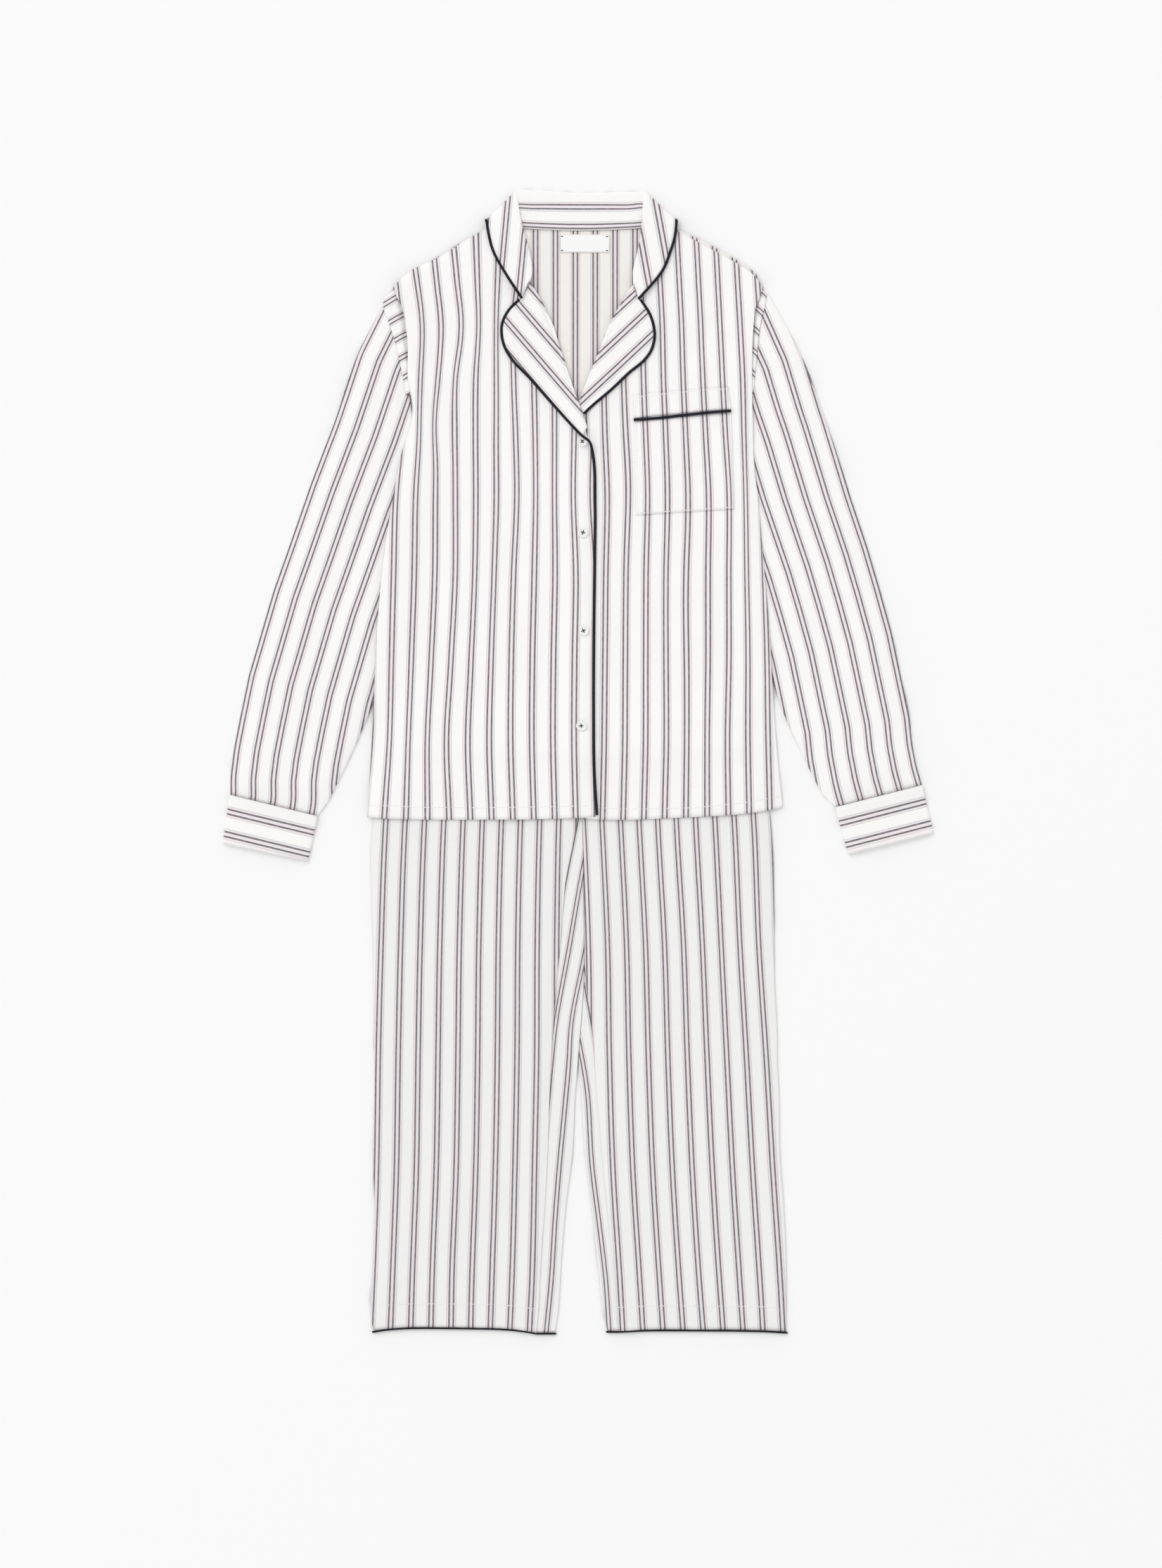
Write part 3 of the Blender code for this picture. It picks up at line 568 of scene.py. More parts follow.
def layGrid(spec, seed):
    # one sheet's points on the pile, and how far each is from its left side
    x, y, fromLeft, fromRight, lift = planOf(spec)
    under = spreadOut(pileTop, spec["reach"])[spotsOf(x, y)]
    heights = easeHeights(np.maximum(under + spec["gap"], lift) + spec["wall"] / 2, spec["ease"])
    rise, near = np.full_like(x, spec["loft"]), np.ones_like(x)
    for side, distance in (("left", fromLeft), ("right", fromRight)):
        if side in spec["rolled"]:
            rise = rise * (1 - np.exp(-distance / spec["roll"]))
            near = np.minimum(near, distance / sideEase)
    t = np.linspace(0, 1, len(x))[:, None]
    rise = rise * (0.35 + 0.65 * np.clip(t / 0.08, 0, 1)) * (0.35 + 0.65 * np.clip((1 - t) / 0.06, 0, 1))
    rise = rise - creaseDepth(x, y, spec["creases"]) + undulation(x, y, seed, spec["unevenness"])
    rise = rise * np.clip(near, 0, 1) ** 0.35
    return np.stack([x, y, heights + np.maximum(rise, 0)], -1), fromLeft


def clothUV(numbers, along):
    return np.stack([numbers * stripePitch, along], -1)


def laySheet(name, spec, look, seed, nodes=None):
    spec = {**sheetDefaults, **spec}
    before = pileTop.copy()
    points, _ = layGrid(spec, seed)
    x, y = points[..., 0], points[..., 1]
    uv = clothUV(spec["stripes"](x, y), spec["along"](x, y)).reshape(-1, 2)
    flat = points.reshape(-1, 3)
    faces = faceUp(flat, gridFaces(*x.shape))
    piece = clothPiece(name, flat, faces, look, uv[faces], spec["wall"])
    addToPile(points, spec["wall"] / 2)
    laid[name] = {"points": points, "before": before}
    if "cut" in spec:
        finishPiece(piece, [name] if nodes is None else nodes, spec)
    return piece


def layTube(name, spec, look, seed):
    # a tube of cloth pressed flat, with rounded sides
    spec = {**tubeDefaults, **spec}
    table = smoothRows(spec["rows"], spec["step"])
    count, wall, edge = spec["columns"], spec["wall"], spec["edge"]
    u = (1 - np.cos(np.linspace(0, math.pi, count + 1))) / 2
    x, y = acrossRows(table, u)
    fromSide = np.minimum(u, 1 - u) * rowWidths(table)[:, None]
    rounding = np.sqrt(np.clip(1 - (1 - np.clip(fromSide / edge, 0, 1)) ** 2, 0, 1))
    middle = easeHeights(spreadOut(pileTop, spec["reach"])[spotsOf(x, y)], spec["ease"]) + wall / 2 + edge
    rise = spec["loft"] * (1 - np.exp(-np.maximum(fromSide - edge * 0.4, 0) / spec["roll"]))
    uneven = undulation(x, y, seed, spec["unevenness"]) * np.clip(fromSide / sideEase, 0, 1)
    rise = np.maximum(rise - creaseDepth(x, y, spec["creases"]) + uneven, 0) * spec["press"](x, y)
    t = np.linspace(0, 1, len(x))[:, None]
    rise = rise * (spec["endFlat"] + (1 - spec["endFlat"]) * np.clip((1 - t) / 0.06, 0, 1))
    over = np.stack([x, y, middle + edge * rounding + rise], -1)
    below = np.stack([x, y, middle - edge * rounding], -1)
    numbers, along = spec["stripes"](x, y), spec["along"](x, y)
    ring, uv = (np.concatenate([top, low[:, -2:0:-1]], 1) for top, low in (
        (over, below), (clothUV(numbers, along), clothUV(2 * numbers[:, :1] - numbers, along))))
    flat = ring.reshape(-1, 3)
    faces = faceUp(flat, gridFaces(len(x), ring.shape[1], around=True), slice(count - 1))
    piece = clothPiece(name, flat, faces, look, uv.reshape(-1, 2)[faces], wall)
    addToPile(over, wall / 2)
    finishPiece(piece, [name], spec)


# Cords of piping and runs of stitches

pipingStep = 2.5  # between two points of a piping's path


def outwardOf(line, centre):
    line = np.asarray(line, float)
    way = np.gradient(line, axis=0)
    side = np.stack([way[:, 1], -way[:, 0]], -1)
    side /= np.linalg.norm(side, axis=1)[:, None] + 1e-9
    side[((line - np.asarray(centre)) * side).sum(1) < 0] *= -1
    return side


def evenly(line, step):
    line = np.asarray(line, float)
    along = lengthAlong(line)
    places = np.linspace(0, along[-1], max(2, round(along[-1] / step) + 1))
    return np.stack([np.interp(places, along, line[:, j]) for j in range(line.shape[1])], -1)


def smoothLine(values, turns):
    for _ in range(turns):
        wide = np.concatenate([values[:1], values, values[-1:]])
        values = (wide[:-2] + 2 * values + wide[2:]) / 4
    return values


def layCord(name, path, diameter, closed=False):
    curve = bpy.data.curves.new(name, "CURVE")
    curve.dimensions = "3D"
    curve.bevel_depth = diameter / 2 * mm
    curve.bevel_resolution = 3
    curve.use_fill_caps = not closed
    line = curve.splines.new("POLY")
    places = toMetres(path)
    line.points.add(len(places) - 1)
    line.use_cyclic_u = closed
    for point, place in zip(line.points, places):
        point.co = (*place, 1)
    curve.materials.append(navyTape)
    cord = bpy.data.objects.new(name + "_tape", curve)
    bpy.context.scene.collection.objects.link(cord)
    selectOnly(cord)
    bpy.ops.object.convert(target="MESH")
    cord = bpy.context.object
    cord.data.polygons.foreach_set("use_smooth", [True] * len(cord.data.polygons))
    finishPiece(cord, [name])


def clearHeight(line, diameter, field, turns=6):
    # heights of a cord's middle that clear what is under it, eased along it
    least = spreadOut(field, diameter * 0.6)[spotsOf(line[:, 0], line[:, 1])] + diameter / 2 + 0.15
    heights = least.copy()
    for _ in range(turns):
        wide = np.concatenate([heights[:1], heights, heights[-1:]])
        heights = np.maximum(least, (wide[:-2] + wide[2:]) / 2)
    return heights


def addCordToPile(line, heights, radius):
    side = outwardOf(line, (0, 0))
    addToPile(np.stack([
        np.column_stack([line + side * offset, heights + np.sqrt(radius ** 2 - offset ** 2)])
        for offset in (-radius, 0, radius)], 1))


stitchShape = {"length": 2.7, "gap": 1.2, "width": 0.8, "height": 0.4, "sample": 0.5, "fullness": 0.7}
stitchRings = ((0, 0.25), (0.2, 1), (0.8, 1), (1, 0.25))  # share of the length, share of the width


def stitchRun(name, line, look, shape=(), rise=0.0):
    # short bars of thread along a line on the cloth, in one mesh
    shape = {**stitchShape, **dict(shape)}
    sample, line = shape["sample"], evenly(line, shape["sample"])
    step = shape["length"] + shape["gap"]
    points, faces = [], []
    for n in range(int((len(line) - 1) * sample // step)):
        a, b = (
            line[int(n * step / sample)],
            line[min(len(line) - 1, int((n * step + shape["length"]) / sample))])
        way = (b - a) / (np.linalg.norm(b - a) + 1e-9)
        side = np.array([-way[1], way[0]])
        start = len(points)
        za, zb = (pileTop[spotsOf(p[:1], p[1:])][0] + rise for p in (a, b))
        for t, wide in stitchRings:
            middle, z = a + (b - a) * t, za + (zb - za) * t
            for turn in range(4):
                angle = math.pi * (0.25 + turn / 2)
                out = side * math.cos(angle) * shape["width"] * shape["fullness"] * wide
                up = math.sin(angle) * shape["height"] * shape["fullness"] * wide
                points.append((*(middle + out), z + up))
        for corner in range(12):
            p, q = start + corner, start + corner - corner % 4 + (corner + 1) % 4
            faces.append((p, q, q + 4, p + 4))
        faces += [tuple(start + k for k in (3, 2, 1, 0)), tuple(start + 12 + k for k in (0, 1, 2, 3))]
    finishPiece(buildMesh(name, points, faces, look), [])


stripeGroup = makeStripeGroup()
weaveGroup = makeWeaveGroup()
makeStudio()
print("studio ready")
shirtCloth = clothMaterial("stripedShirtCotton", stripes["shirtGround"], 1.0)
# the shirt back's cloth: the wrong side, with painted shade, a darker warmer ground and its stripe colours
# dimmed to 0.94, for the shadow inside the neck
shirtInsideShaded = clothMaterial("stripedShirtInsideShaded", stripes["insideShadedGround"], 0.94)
trouserCloth = clothMaterial("stripedTrouserCotton", stripes["trouserGround"], 0.93)
navyTape = tapeMaterial()
pearlWhite = buttonMaterial()
labelSatin = satinMaterial()
paleThread = threadMaterial("paleThread", (0.86, 0.85, 0.84, 1), (0.95, 0.945, 0.93, 1))
darkThread = threadMaterial("darkThread", (0.012, 0.012, 0.018, 1), (0.05, 0.05, 0.06, 1))
print("materials ready")


# The trousers

rightLeg = {
    "outer": [(-190, 14), (-226, -40), (-236, -90), (-235, -156), (-233, -252), (-233, -316), (-232, -335),
              (-232, -380), (-234, -444), (-232, -500), (-234, -572), (-236, -630), (-233, -646)],
    "inner": [(-3.3, 14), (3, -40), (5, -90), (6, -156), (6, -252), (1.5, -316), (-0.3, -335), (-4, -380),
              (-7, -444), (-14, -500), (-20, -572), (-24, -630), (-27, -648)],
    "fold": [(8, 14), (3, -40), (-6, -90), (-14, -130), (-20, -200), (-26, -262), (-31, -335), (-33, -380),
             (-35, -444), (-38, -500), (-43, -572), (-46, -630), (-48, -648)],
    "guide": [(-20, -216, -129, -42.5), (-76, -219.5, -131.5, -44.5), (-212, -224.5, -135.5, -47),
              (-332, -227.5, -137, -47.5), (-460, -229.5, -139, -50), (-588, -234, -144, -53),
              (-650, -237, -145, -56)],
    "numbers": (10, 6, 2),
    "tuckGuide": [(14, 6, 26), (-62, -2, 17), (-120, -13, 5), (-212, -30, -11), (-304, -45, -27),
                  (-340, -51, -31), (-396, -56, -36), (-460, -62, -42), (-524, -67, -47), (-588, -71, -51),
                  (-650, -75, -56)],
    "tuckNumbers": (3, 2),
    "dip": -5, "seed": 21,
    "creases": [Crease(-60, -20, -120, -200, 16, 1.3), Crease(-170, -10, -160, -230, 14, 1.0),
                Crease(-90, -300, -110, -560, 18, 0.9), Crease(-190, -330, -180, -600, 16, 0.8),
                Crease(-20, -60, -34, -330, 7, 0.9), Crease(-140, -380, -150, -640, 15, -0.7)],
}
leftLeg = {
    "outer": [(178, 14), (213, -40), (220, -90), (222, -156), (223, -252), (226, -316), (226, -335),
              (228, -380), (229, -444), (233, -500), (236, -572), (236, -630), (236, -647)],
    "inner": [(-3, 14), (3.3, -40), (5.3, -90), (6.3, -156), (6.3, -252), (1.8, -316), (0.3, -335),
              (3, -380), (7, -444), (14, -500), (22, -572), (29, -630), (33, -646)],
    "fold": [(-3, 14), (3.3, -40), (5.3, -90), (6.3, -156), (9, -252), (17, -316), (18, -335), (21, -380),
             (26.5, -444), (32, -500), (39, -572), (43, -630), (46, -646)],
    "guide": [(-20, 24, 109, 196), (-76, 27, 111.5, 199.5), (-212, 33, 119.5, 205), (-332, 35, 123.5, 213),
              (-460, 39, 129, 220.5), (-588, 47, 137, 229), (-650, 50.5, 142, 232.5)],
    "numbers": (0, 4, 8),
    "tuckGuide": [(-180, -27, -8), (-240, -14, 6), (-305, -2, 18), (-366, 9, 28), (-460, 15.5, 35),
                  (-524, 23.5, 43), (-588, 31, 50), (-650, 35, 54)],
    "tuckNumbers": (-1, 0),
    "dip": -2, "seed": 22,
    "creases": [Crease(50, -20, 80, -220, 15, 1.2), Crease(160, -10, 175, -260, 16, 1.1),
                Crease(90, -330, 120, -600, 17, 0.9), Crease(190, -360, 200, -610, 15, 0.8),
                Crease(28, -250, 40, -420, 8, 0.8), Crease(60, -420, 80, -630, 12, -0.6)],
}
legs = {"right": rightLeg, "left": leftLeg}
legFinish = {
    "cut": (0.26, 0.67), "area": 0.152,
    "back": {"step": 9, "unevenness": 0, "reach": 0.1, "restsOn": ["floor"]},
    "tuck": {"loft": 1.2, "roll": 4, "unevenness": 0.3, "reach": 1.5},
    "front": {"loft": 3.2, "roll": 7, "unevenness": 0.7, "reach": 1.5, "rolled": ("left", "right")},
    "tuckDepth": 14, "tuckCrease": 4,
}


def leftFirst(side, line, other):
    # pairs of points of two lines down a leg; the first line is the outer one
    return list(zip(line, other)) if side == "right" else list(zip(other, line))


def legRows(side, leg, inner):
    rows = [Row(*a, *b) for a, b in leftFirst(side, leg["outer"], leg[inner])]
    return rows[:-1] + [rows[-1]._replace(dip=leg["dip"])]


def makeTrousers():
    for side, leg in legs.items():
        laySheet(f"trouser_back_{side}", {
            **legFinish["back"], "cut": legFinish["cut"], "area": legFinish["area"],
            "rows": legRows(side, leg, "inner"), "stripes": stripesOf(leg),
        }, trouserCloth, 1)
    for side, leg in legs.items():
        outward = -1 if side == "right" else 1
        deep = [(x + outward * legFinish["tuckDepth"], y) for x, y in leg["fold"]]
        rows = [Row(*a, *b) for a, b in leftFirst(side, deep, leg["inner"])]
        tuck = laySheet(f"tuck_{side}", {
            **legFinish["tuck"], "rows": rows if side == "right" else rows[3:],
            "rolled": ("right" if side == "right" else "left",),
            "stripes": stripesOf(leg, "tuckGuide", "tuckNumbers"),
            "creases": [leg["creases"][legFinish["tuckCrease"]]],
        }, trouserCloth, 11)
        front = laySheet(f"trouser_front_{side}", {
            **legFinish["front"], "rows": legRows(side, leg, "fold"), "stripes": stripesOf(leg),
            "creases": leg["creases"],
        }, trouserCloth, leg["seed"])
        selectOnly(front, tuck)
        bpy.ops.object.join()
        finishPiece(front, [f"trouser_front_{side}"], {
            "cut": legFinish["cut"], "area": legFinish["area"], "restsOn": [f"trouser_back_{side}"]})


hemPiping = {"diameter": 2.0, "gap": 0.1, "step": 4, "stitchesUp": 27}


def makeHems():
    radius = hemPiping["diameter"] / 2
    for side in legs:
        front = laid[f"trouser_front_{side}"]["points"][-1]
        tuck = laid[f"tuck_{side}"]["points"][-1]
        if side == "right":
            hem = np.concatenate([front, tuck[tuck[:, 0] > front[-1, 0] + 1.5]])
        else:
            hem = np.concatenate([tuck[tuck[:, 0] < front[0, 0] - 1.5], front])
        hem = evenly(hem, hemPiping["step"])
        high = hem + (0, -radius - hemPiping["gap"], 0)
        high[:, 2] = smoothLine(np.maximum(hem[:, 2], 3 * radius + sheetDefaults["gap"]), 4)
        low = high.copy()
        low[:, 2] = radius + 0.05
        first, last = (low[0] + high[0]) / 2 - (radius, 0, 0), (low[-1] + high[-1]) / 2 + (radius, 0, 0)
        path = np.concatenate([low, [last], high[::-1], [first]])
        layCord(f"hem_piping_{side}", path, hemPiping["diameter"], closed=True)
        stitches = hem[2:-2, :2] + (0, hemPiping["stitchesUp"])
        stitchRun(f"trouser_hem_stitches_{side}", stitches, paleThread)


waistband = {
    "rows": [Row(-190, 49, 178, 49), Row(-190, 15, 178, 15)], "wall": 1.0, "edge": 1.6, "loft": 0.3,
    "columns": 60,
    "stripes": lambda x, y: x / 21.7, "cut": (0.736, 0.036), "held": "gathered", "restsOn": ["floor"],
    "unevenness": 0.0,
}

makeTrousers()
layTube("waistband", waistband, trouserCloth, 31)
makeHems()
print("trousers laid")


# The sleeves

rightSleeve = {
    "rows": [Row(-211, 542, -178, 318, -3), Row(-250, 466, -182, 306), Row(-277, 388, -185, 286),
        Row(-305, 316, -190, 250),
             Row(-330, 244, -199, 200), Row(-347, 196, -208, 156), Row(-361, 148, -219, 112),
             Row(-375, 100, -236, 62),
             Row(-385, 52, -255, 18), Row(-392, 16, -270, -14), Row(-396, -16, -286, -45),
             Row(-396, -36, -297, -60)],
    "creases": [Crease(-212, 500, -225, 400, 9, 1.6), Crease(-215, 330, -300, 120, 13, 1.5),
                Crease(-205, 380, -250, 240, 10, 1.4), Crease(-265, 330, -330, 120, 16, -0.9),
                Crease(-240, 120, -330, 10, 12, 1.1), Crease(-300, 60, -360, -30, 12, -0.8),
                Crease(-230, 440, -262, 340, 8, -0.9)],
    "first": [(-60, 4), (300, 4), (420, 3), (540, 1)],
    "cuff": [Row(-396, -36.4, -297, -60.4), Row(-404, -92, -308, -112)], "seed": 41,
}
leftSleeve = {
    "rows": [Row(211, 542, 180, 318, -3), Row(252, 466, 184, 306), Row(281, 388, 188, 286),
             Row(305, 316, 192, 250), Row(329, 244, 200, 200), Row(343, 196, 206, 156),
             Row(356, 148, 216, 112), Row(366, 100, 231, 62), Row(376, 52, 251, 18),
             Row(379, 22, 265, -12), Row(384, -4, 280, -38), Row(390, -25, 292, -50)],
    "creases": [Crease(214, 500, 226, 400, 9, 1.6), Crease(215, 330, 300, 120, 13, 1.4),
                Crease(208, 400, 262, 230, 10, 1.3), Crease(262, 350, 330, 120, 16, -0.9),
                Crease(240, 110, 320, 0, 12, 1.1), Crease(300, 60, 352, -20, 12, -0.8)],
    "first": [(-60, 3), (300, 4), (400, 1), (460, -3), (540, -10)],
    "cuff": [Row(390, -25.4, 292, -50.4), Row(403, -80, 307, -104)], "seed": 42,
}
sleeveFinish = {
    "edge": 1.4, "loft": 4.2, "roll": 10, "unevenness": 0.6, "columns": 44, "endFlat": 0.3,
    "cut": (0.40, 0.64), "area": 0.145, "restsOn": ["floor"],
}
sleeveStripe = {"pitch": 22.8, "step": 6}
cuffFinish = {
    "wall": 1.1, "edge": 1.7, "loft": 1.6, "roll": 8, "columns": 36, "unevenness": 0.15,
    "cut": (0.206, 0.056),
    "restsOn": ["floor"],
}
cuffStripe = {"pitch": 25.5, "first": 19.0}
bodySide = {
    "y": [-60, 60, 230, 350, 400, 480, 545], "x": [238, 228, 215, 200, 192, 195, 205],
    "easing": 22, "share": 0.12,  # the share of its loft that a sleeve keeps under the body of the shirt
}


def edgeDistance(x, y, edge):
    # how far each point is from a line of points
    line = evenly(edge, sleeveStripe["step"])
    best = np.full(x.shape, 1e9)
    for (x0, y0), (x1, y1) in zip(line, line[1:]):
        dx, dy = x1 - x0, y1 - y0
        t = np.clip(((x - x0) * dx + (y - y0) * dy) / (dx * dx + dy * dy), 0, 1)
        best = np.minimum(best, np.hypot(x - x0 - t * dx, y - y0 - t * dy))
    return best


def bodyCover(x, y):
    side = np.interp(y, bodySide["y"], bodySide["x"])
    t = np.clip((np.abs(x) - side - 1) / bodySide["easing"], 0, 1)
    return bodySide["share"] + (1 - bodySide["share"]) * t * t * (3 - 2 * t)


def makeSleeves():
    for side, sleeve in (("right", rightSleeve), ("left", leftSleeve)):
        edge = [(row.leftX, row.leftY) for row in sleeve["rows"]]

        def sleeveStripes(x, y, edge=edge, first=sleeve["first"]):
            return (edgeDistance(x, y, edge) - np.interp(y, *zip(*first))) / sleeveStripe["pitch"]

        layTube(f"sleeve_{side}", {
            **sleeveFinish, "rows": sleeve["rows"], "creases": sleeve["creases"], "stripes": sleeveStripes,
            "press": bodyCover,
        }, shirtCloth, sleeve["seed"])
        ax, ay, bx, by = sleeve["cuff"][0][:4]
        length = math.hypot(bx - ax, by - ay) * (1 if bx < ax else -1)
        downX, downY = (ay - by) / length, (bx - ax) / length
        down = lambda x, y, ax=ax, ay=ay, dx=downX, dy=downY: (x - ax) * dx + (y - ay) * dy
        across = lambda x, y, ax=ax, ay=ay, dx=downX, dy=downY: (x - ax) * dy - (y - ay) * dx
        layTube(f"cuff_{side}", {
            **cuffFinish, "rows": sleeve["cuff"], "along": across,
            "stripes": lambda x, y, down=down: (down(x, y) - cuffStripe["first"]) / cuffStripe["pitch"],
        }, shirtCloth, sleeve["seed"] + 2)


capRight = {
    "rows": [Row(-221, 529, -201, 543), Row(-221.5, 518, -196, 528), Row(-215, 499, -190, 510),
        Row(-208.5, 478, -187, 486), Row(-203, 455, -186, 460),
             Row(-199, 436, -186, 440), Row(-196, 418, -186, 420)],
    "pitch": 24, "offset": 5, "slant": 0.6,
    "seed": 51,
}
capLeft = {
    "rows": [Row(201, 543, 214, 533), Row(196, 528, 212, 520), Row(192, 510, 207.5, 503),
             Row(190, 486, 204.5, 482), Row(189, 460, 202, 457), Row(189, 440, 200, 437),
             Row(189, 418, 198, 416)],
    "pitch": 26, "offset": 25.3, "slant": 1.0,
    "seed": 52,
}
capFinish = {
    "loft": 2.2, "roll": 3.5, "step": 2.2, "ease": 5, "reach": 1.5, "unevenness": 0.1, "cut": (0.022, 0.12),
    "held": "gathered", "along": lambda x, y: x,
}
puckerPlaces = (522, 509, 494, 478, 461, 446)


def makeSleeveCaps():
    # the head of each sleeve, eased in small puckers beside the armhole seam
    for side, cap in (("right", capRight), ("left", capLeft)):
        out = -1 if side == "right" else 1
        laySheet(f"sleeve_cap_{side}", {
            **capFinish, "rows": cap["rows"], "rolled": ("left" if side == "right" else "right",),
            "restsOn": [f"sleeve_{side}"],
            "stripes": lambda x, y, c=cap: (y + c["slant"] * (np.abs(x) - 200) - c["offset"]) / c["pitch"],
            "creases": [
                Crease(out * 190, y, out * (206 + 0.12 * (y - 430)), y - 6, 3.2, 1.1) for y in puckerPlaces],
        }, shirtCloth, cap["seed"], nodes=[])


makeSleeves()
makeSleeveCaps()
print("sleeves laid")


# The body of the shirt

shirtBack = {
    "rows": [
        Row(-97, 610, 103, 610, 4, 3.2), Row(-128, 595, 136, 596, 4, 3.2), Row(-157, 577, 171, 577, 3, 2.4),
        Row(-192, 558, 200, 558, 2, 1.0), Row(-206, 546, 206, 546), Row(-199, 513, 200, 513),
        Row(-194, 478, 197, 478), Row(-194, 440, 196, 440), Row(-189, 399, 197, 399),
        Row(-200, 355, 199, 350), Row(-212, 293, 205, 290), Row(-221, 235, 210, 230),
        Row(-229, 148, 217, 148), Row(-233, 60, 222, 60), Row(-237, -12, 228, -14),
        Row(-239, -57, 231, -46, 6),
    ],
    "step": 6, "unevenness": 0.25, "reach": 3, "cut": (0.48, 0.68), "area": 0.287,
    "stripes": lambda x, y: (x + 3.6) / 22.6,
    "creases": [Crease(-30, 560, 35, 545, 10, -0.5)],
}
rightFront = {
    "rows": [
        Row(-106, 607, -98, 609), Row(-128, 594, -85, 595), Row(-157, 576, -73, 577),
        Row(-194, 557, -65, 558), Row(-206, 545, -57, 546), Row(-199, 513, -37, 513),
        Row(-194, 478, -26, 478), Row(-194, 440, -13, 440), Row(-188, 399, 1, 399), Row(-194, 374, 9, 374),
        Row(-200, 355, 14, 355), Row(-212, 293, 17.3, 293), Row(-221, 235, 17, 235),
        Row(-229, 148, 16, 148), Row(-233, 60, 15.6, 60), Row(-237, -12, 16.5, -12),
        Row(-240, -62, 19.5, -61, 3),
    ],
    "guide": [
        (548, -3, -69, -138, -208), (500, -4, -74.5, -133, -203), (436, -4, -74, -138, -201),
        (372, -5, -71.5, -140, -201), (308, -6, -70, -140, -207), (212, -3, -74, -140, -210),
        (116, -4.5, -76.5, -145, -212.5), (20, -5, -77, -150, -215), (-48, -3.5, -75, -147.5, -219.5),
    ],
    "numbers": (0, 3, 6, 9),
    "nudges": [Nudge(-160, 385, -4, 14, 40), Nudge(-137, 430, -2, 12, 40),
               Nudge(-184, 500, 2.5, 12, 55), Nudge(-95, 430, 2, 12, 60)],
    "creases": [
        Crease(-172, 505, -128, 372, 9, 1.7), Crease(-148, 520, -112, 420, 8, 1.1),
        Crease(-184, 470, -150, 350, 8, 1.2), Crease(-105, 470, -94, 330, 11, 1.3),
        Crease(-60, 350, -76, 170, 12, 1.2), Crease(-190, 300, -150, 120, 12, 1.1),
        Crease(-215, 180, -205, 20, 9, 0.9), Crease(-120, 180, -105, -30, 13, 1.1),
        Crease(-30, 220, -40, 20, 10, 0.9), Crease(-40, 420, -20, 340, 9, 1.0),
        Crease(-20, 120, -12, -30, 8, 0.6), Crease(-150, 330, -120, 210, 10, -0.8),
        Crease(-70, 130, -62, -20, 12, -0.7), Crease(-180, 90, -175, -30, 12, -0.7),
    ],
    "cut": (0.26, 0.67), "area": 0.146,
    "restsOn": ["shirt_back", "shirt_front_left"],
}
leftFront = {
    "rows": [
        Row(103, 605, 115, 603), Row(91, 590, 135, 592), Row(79, 572, 167, 575), Row(71.5, 556, 196, 557),
        Row(63, 545, 206, 545), Row(45, 514, 200, 513), Row(33, 494, 198, 485), Row(20, 456, 197, 450),
        Row(10, 434, 197, 420), Row(0, 407, 198, 390), Row(-8, 380, 199, 344), Row(-8, 300, 204, 300),
        Row(-8, 230, 210, 230), Row(-8, 148, 217, 148), Row(-8, 60, 222, 60), Row(-8, -10, 228, -12),
        Row(-8, -61, 232, -50, 7),
    ],
    "guide": [
        (548, 26, 92.5, 158, 203), (500, 27, 95, 160.5, 206), (436, 28.5, 96.5, 163.5, 209),
        (372, 30, 99, 167, 208.5), (308, 32.5, 101, 171, 208), (212, 31, 99.5, 171, 211),
        (116, 30, 99.5, 171, 214), (20, 29, 99.5, 169, 215.5), (-48, 27.5, 98, 170, 217),
    ],
    "numbers": (0, 3, 6, 8),
    "nudges": [Nudge(60, 330, 1.5, 14, 60), Nudge(120, 180, -1.5, 16, 70)],
    "creases": [
        Crease(166, 520, 118, 445, 10, 1.4), Crease(186, 490, 150, 430, 9, 1.1),
        Crease(50, 470, 42, 330, 10, 1.1), Crease(110, 270, 96, 120, 13, 1.2),
        Crease(180, 270, 165, 90, 12, 1.2), Crease(205, 180, 205, 10, 9, 0.9),
        Crease(60, 230, 52, 40, 11, 1.0), Crease(130, 100, 118, -30, 12, 0.9),
        Crease(30, 330, 34, 190, 8, 0.8), Crease(80, 90, 74, -30, 12, -0.7),
        Crease(190, 60, 184, -30, 10, -0.6), Crease(150, 240, 138, 130, 11, -0.7),
    ],
    "cut": (0.25, 0.67), "area": 0.140,
    "restsOn": ["shirt_back"],
}
frontFinish = {
    "loft": 3.4, "roll": 9, "step": 4.5, "unevenness": 0.8, "reach": 3, "ease": 14,
    "rolled": ("left", "right")}


def makeBody():
    # the back wears the inside cloth, whose darker ground is partly painted shade
    laySheet("shirt_back", {**shirtBack, "restsOn": ["sleeve_right", "sleeve_left"]}, shirtInsideShaded, 61)
    for name, front, seed in (("shirt_front_left", leftFront, 71), ("shirt_front_right", rightFront, 72)):
        laySheet(name, {**frontFinish, **front, "stripes": stripesOf(front)}, shirtCloth, seed)


labelShape = {
    "rows": [Row(-20.5, 600.5, 35, 600.5), Row(-20.5, 580, 35, 580)], "wall": 0.5, "step": 2.5, "reach": 1.5,
    "ease": 4, "unevenness": 0.15, "loft": 0.2, "stripes": lambda x, y: x / stripePitch,
    "cut": (0.055, 0.020), "restsOn": ["shirt_back"],
}
tacks = {
    "places": [(-18.3, 598.2), (32.8, 598.2), (-18.3, 582.2), (32.8, 582.2)], "reach": (1.8, 0.3),
    "rise": 0.1,
    "shape": {"length": 2.8, "gap": 0.4, "width": 1.1, "height": 0.4},
}


def makeLabel():
    laySheet("label", labelShape, labelSatin, 81)
    for n, (x, y) in enumerate(tacks["places"]):
        dx, dy = tacks["reach"][0], math.copysign(tacks["reach"][1], x)
        line = [(x - dx, y - dy), (x + dx, y + dy)]
        stitchRun(f"label_tack_{n + 1}", line, darkThread, tacks["shape"], tacks["rise"])


# Buttons: one is modelled and the rest are copies of it

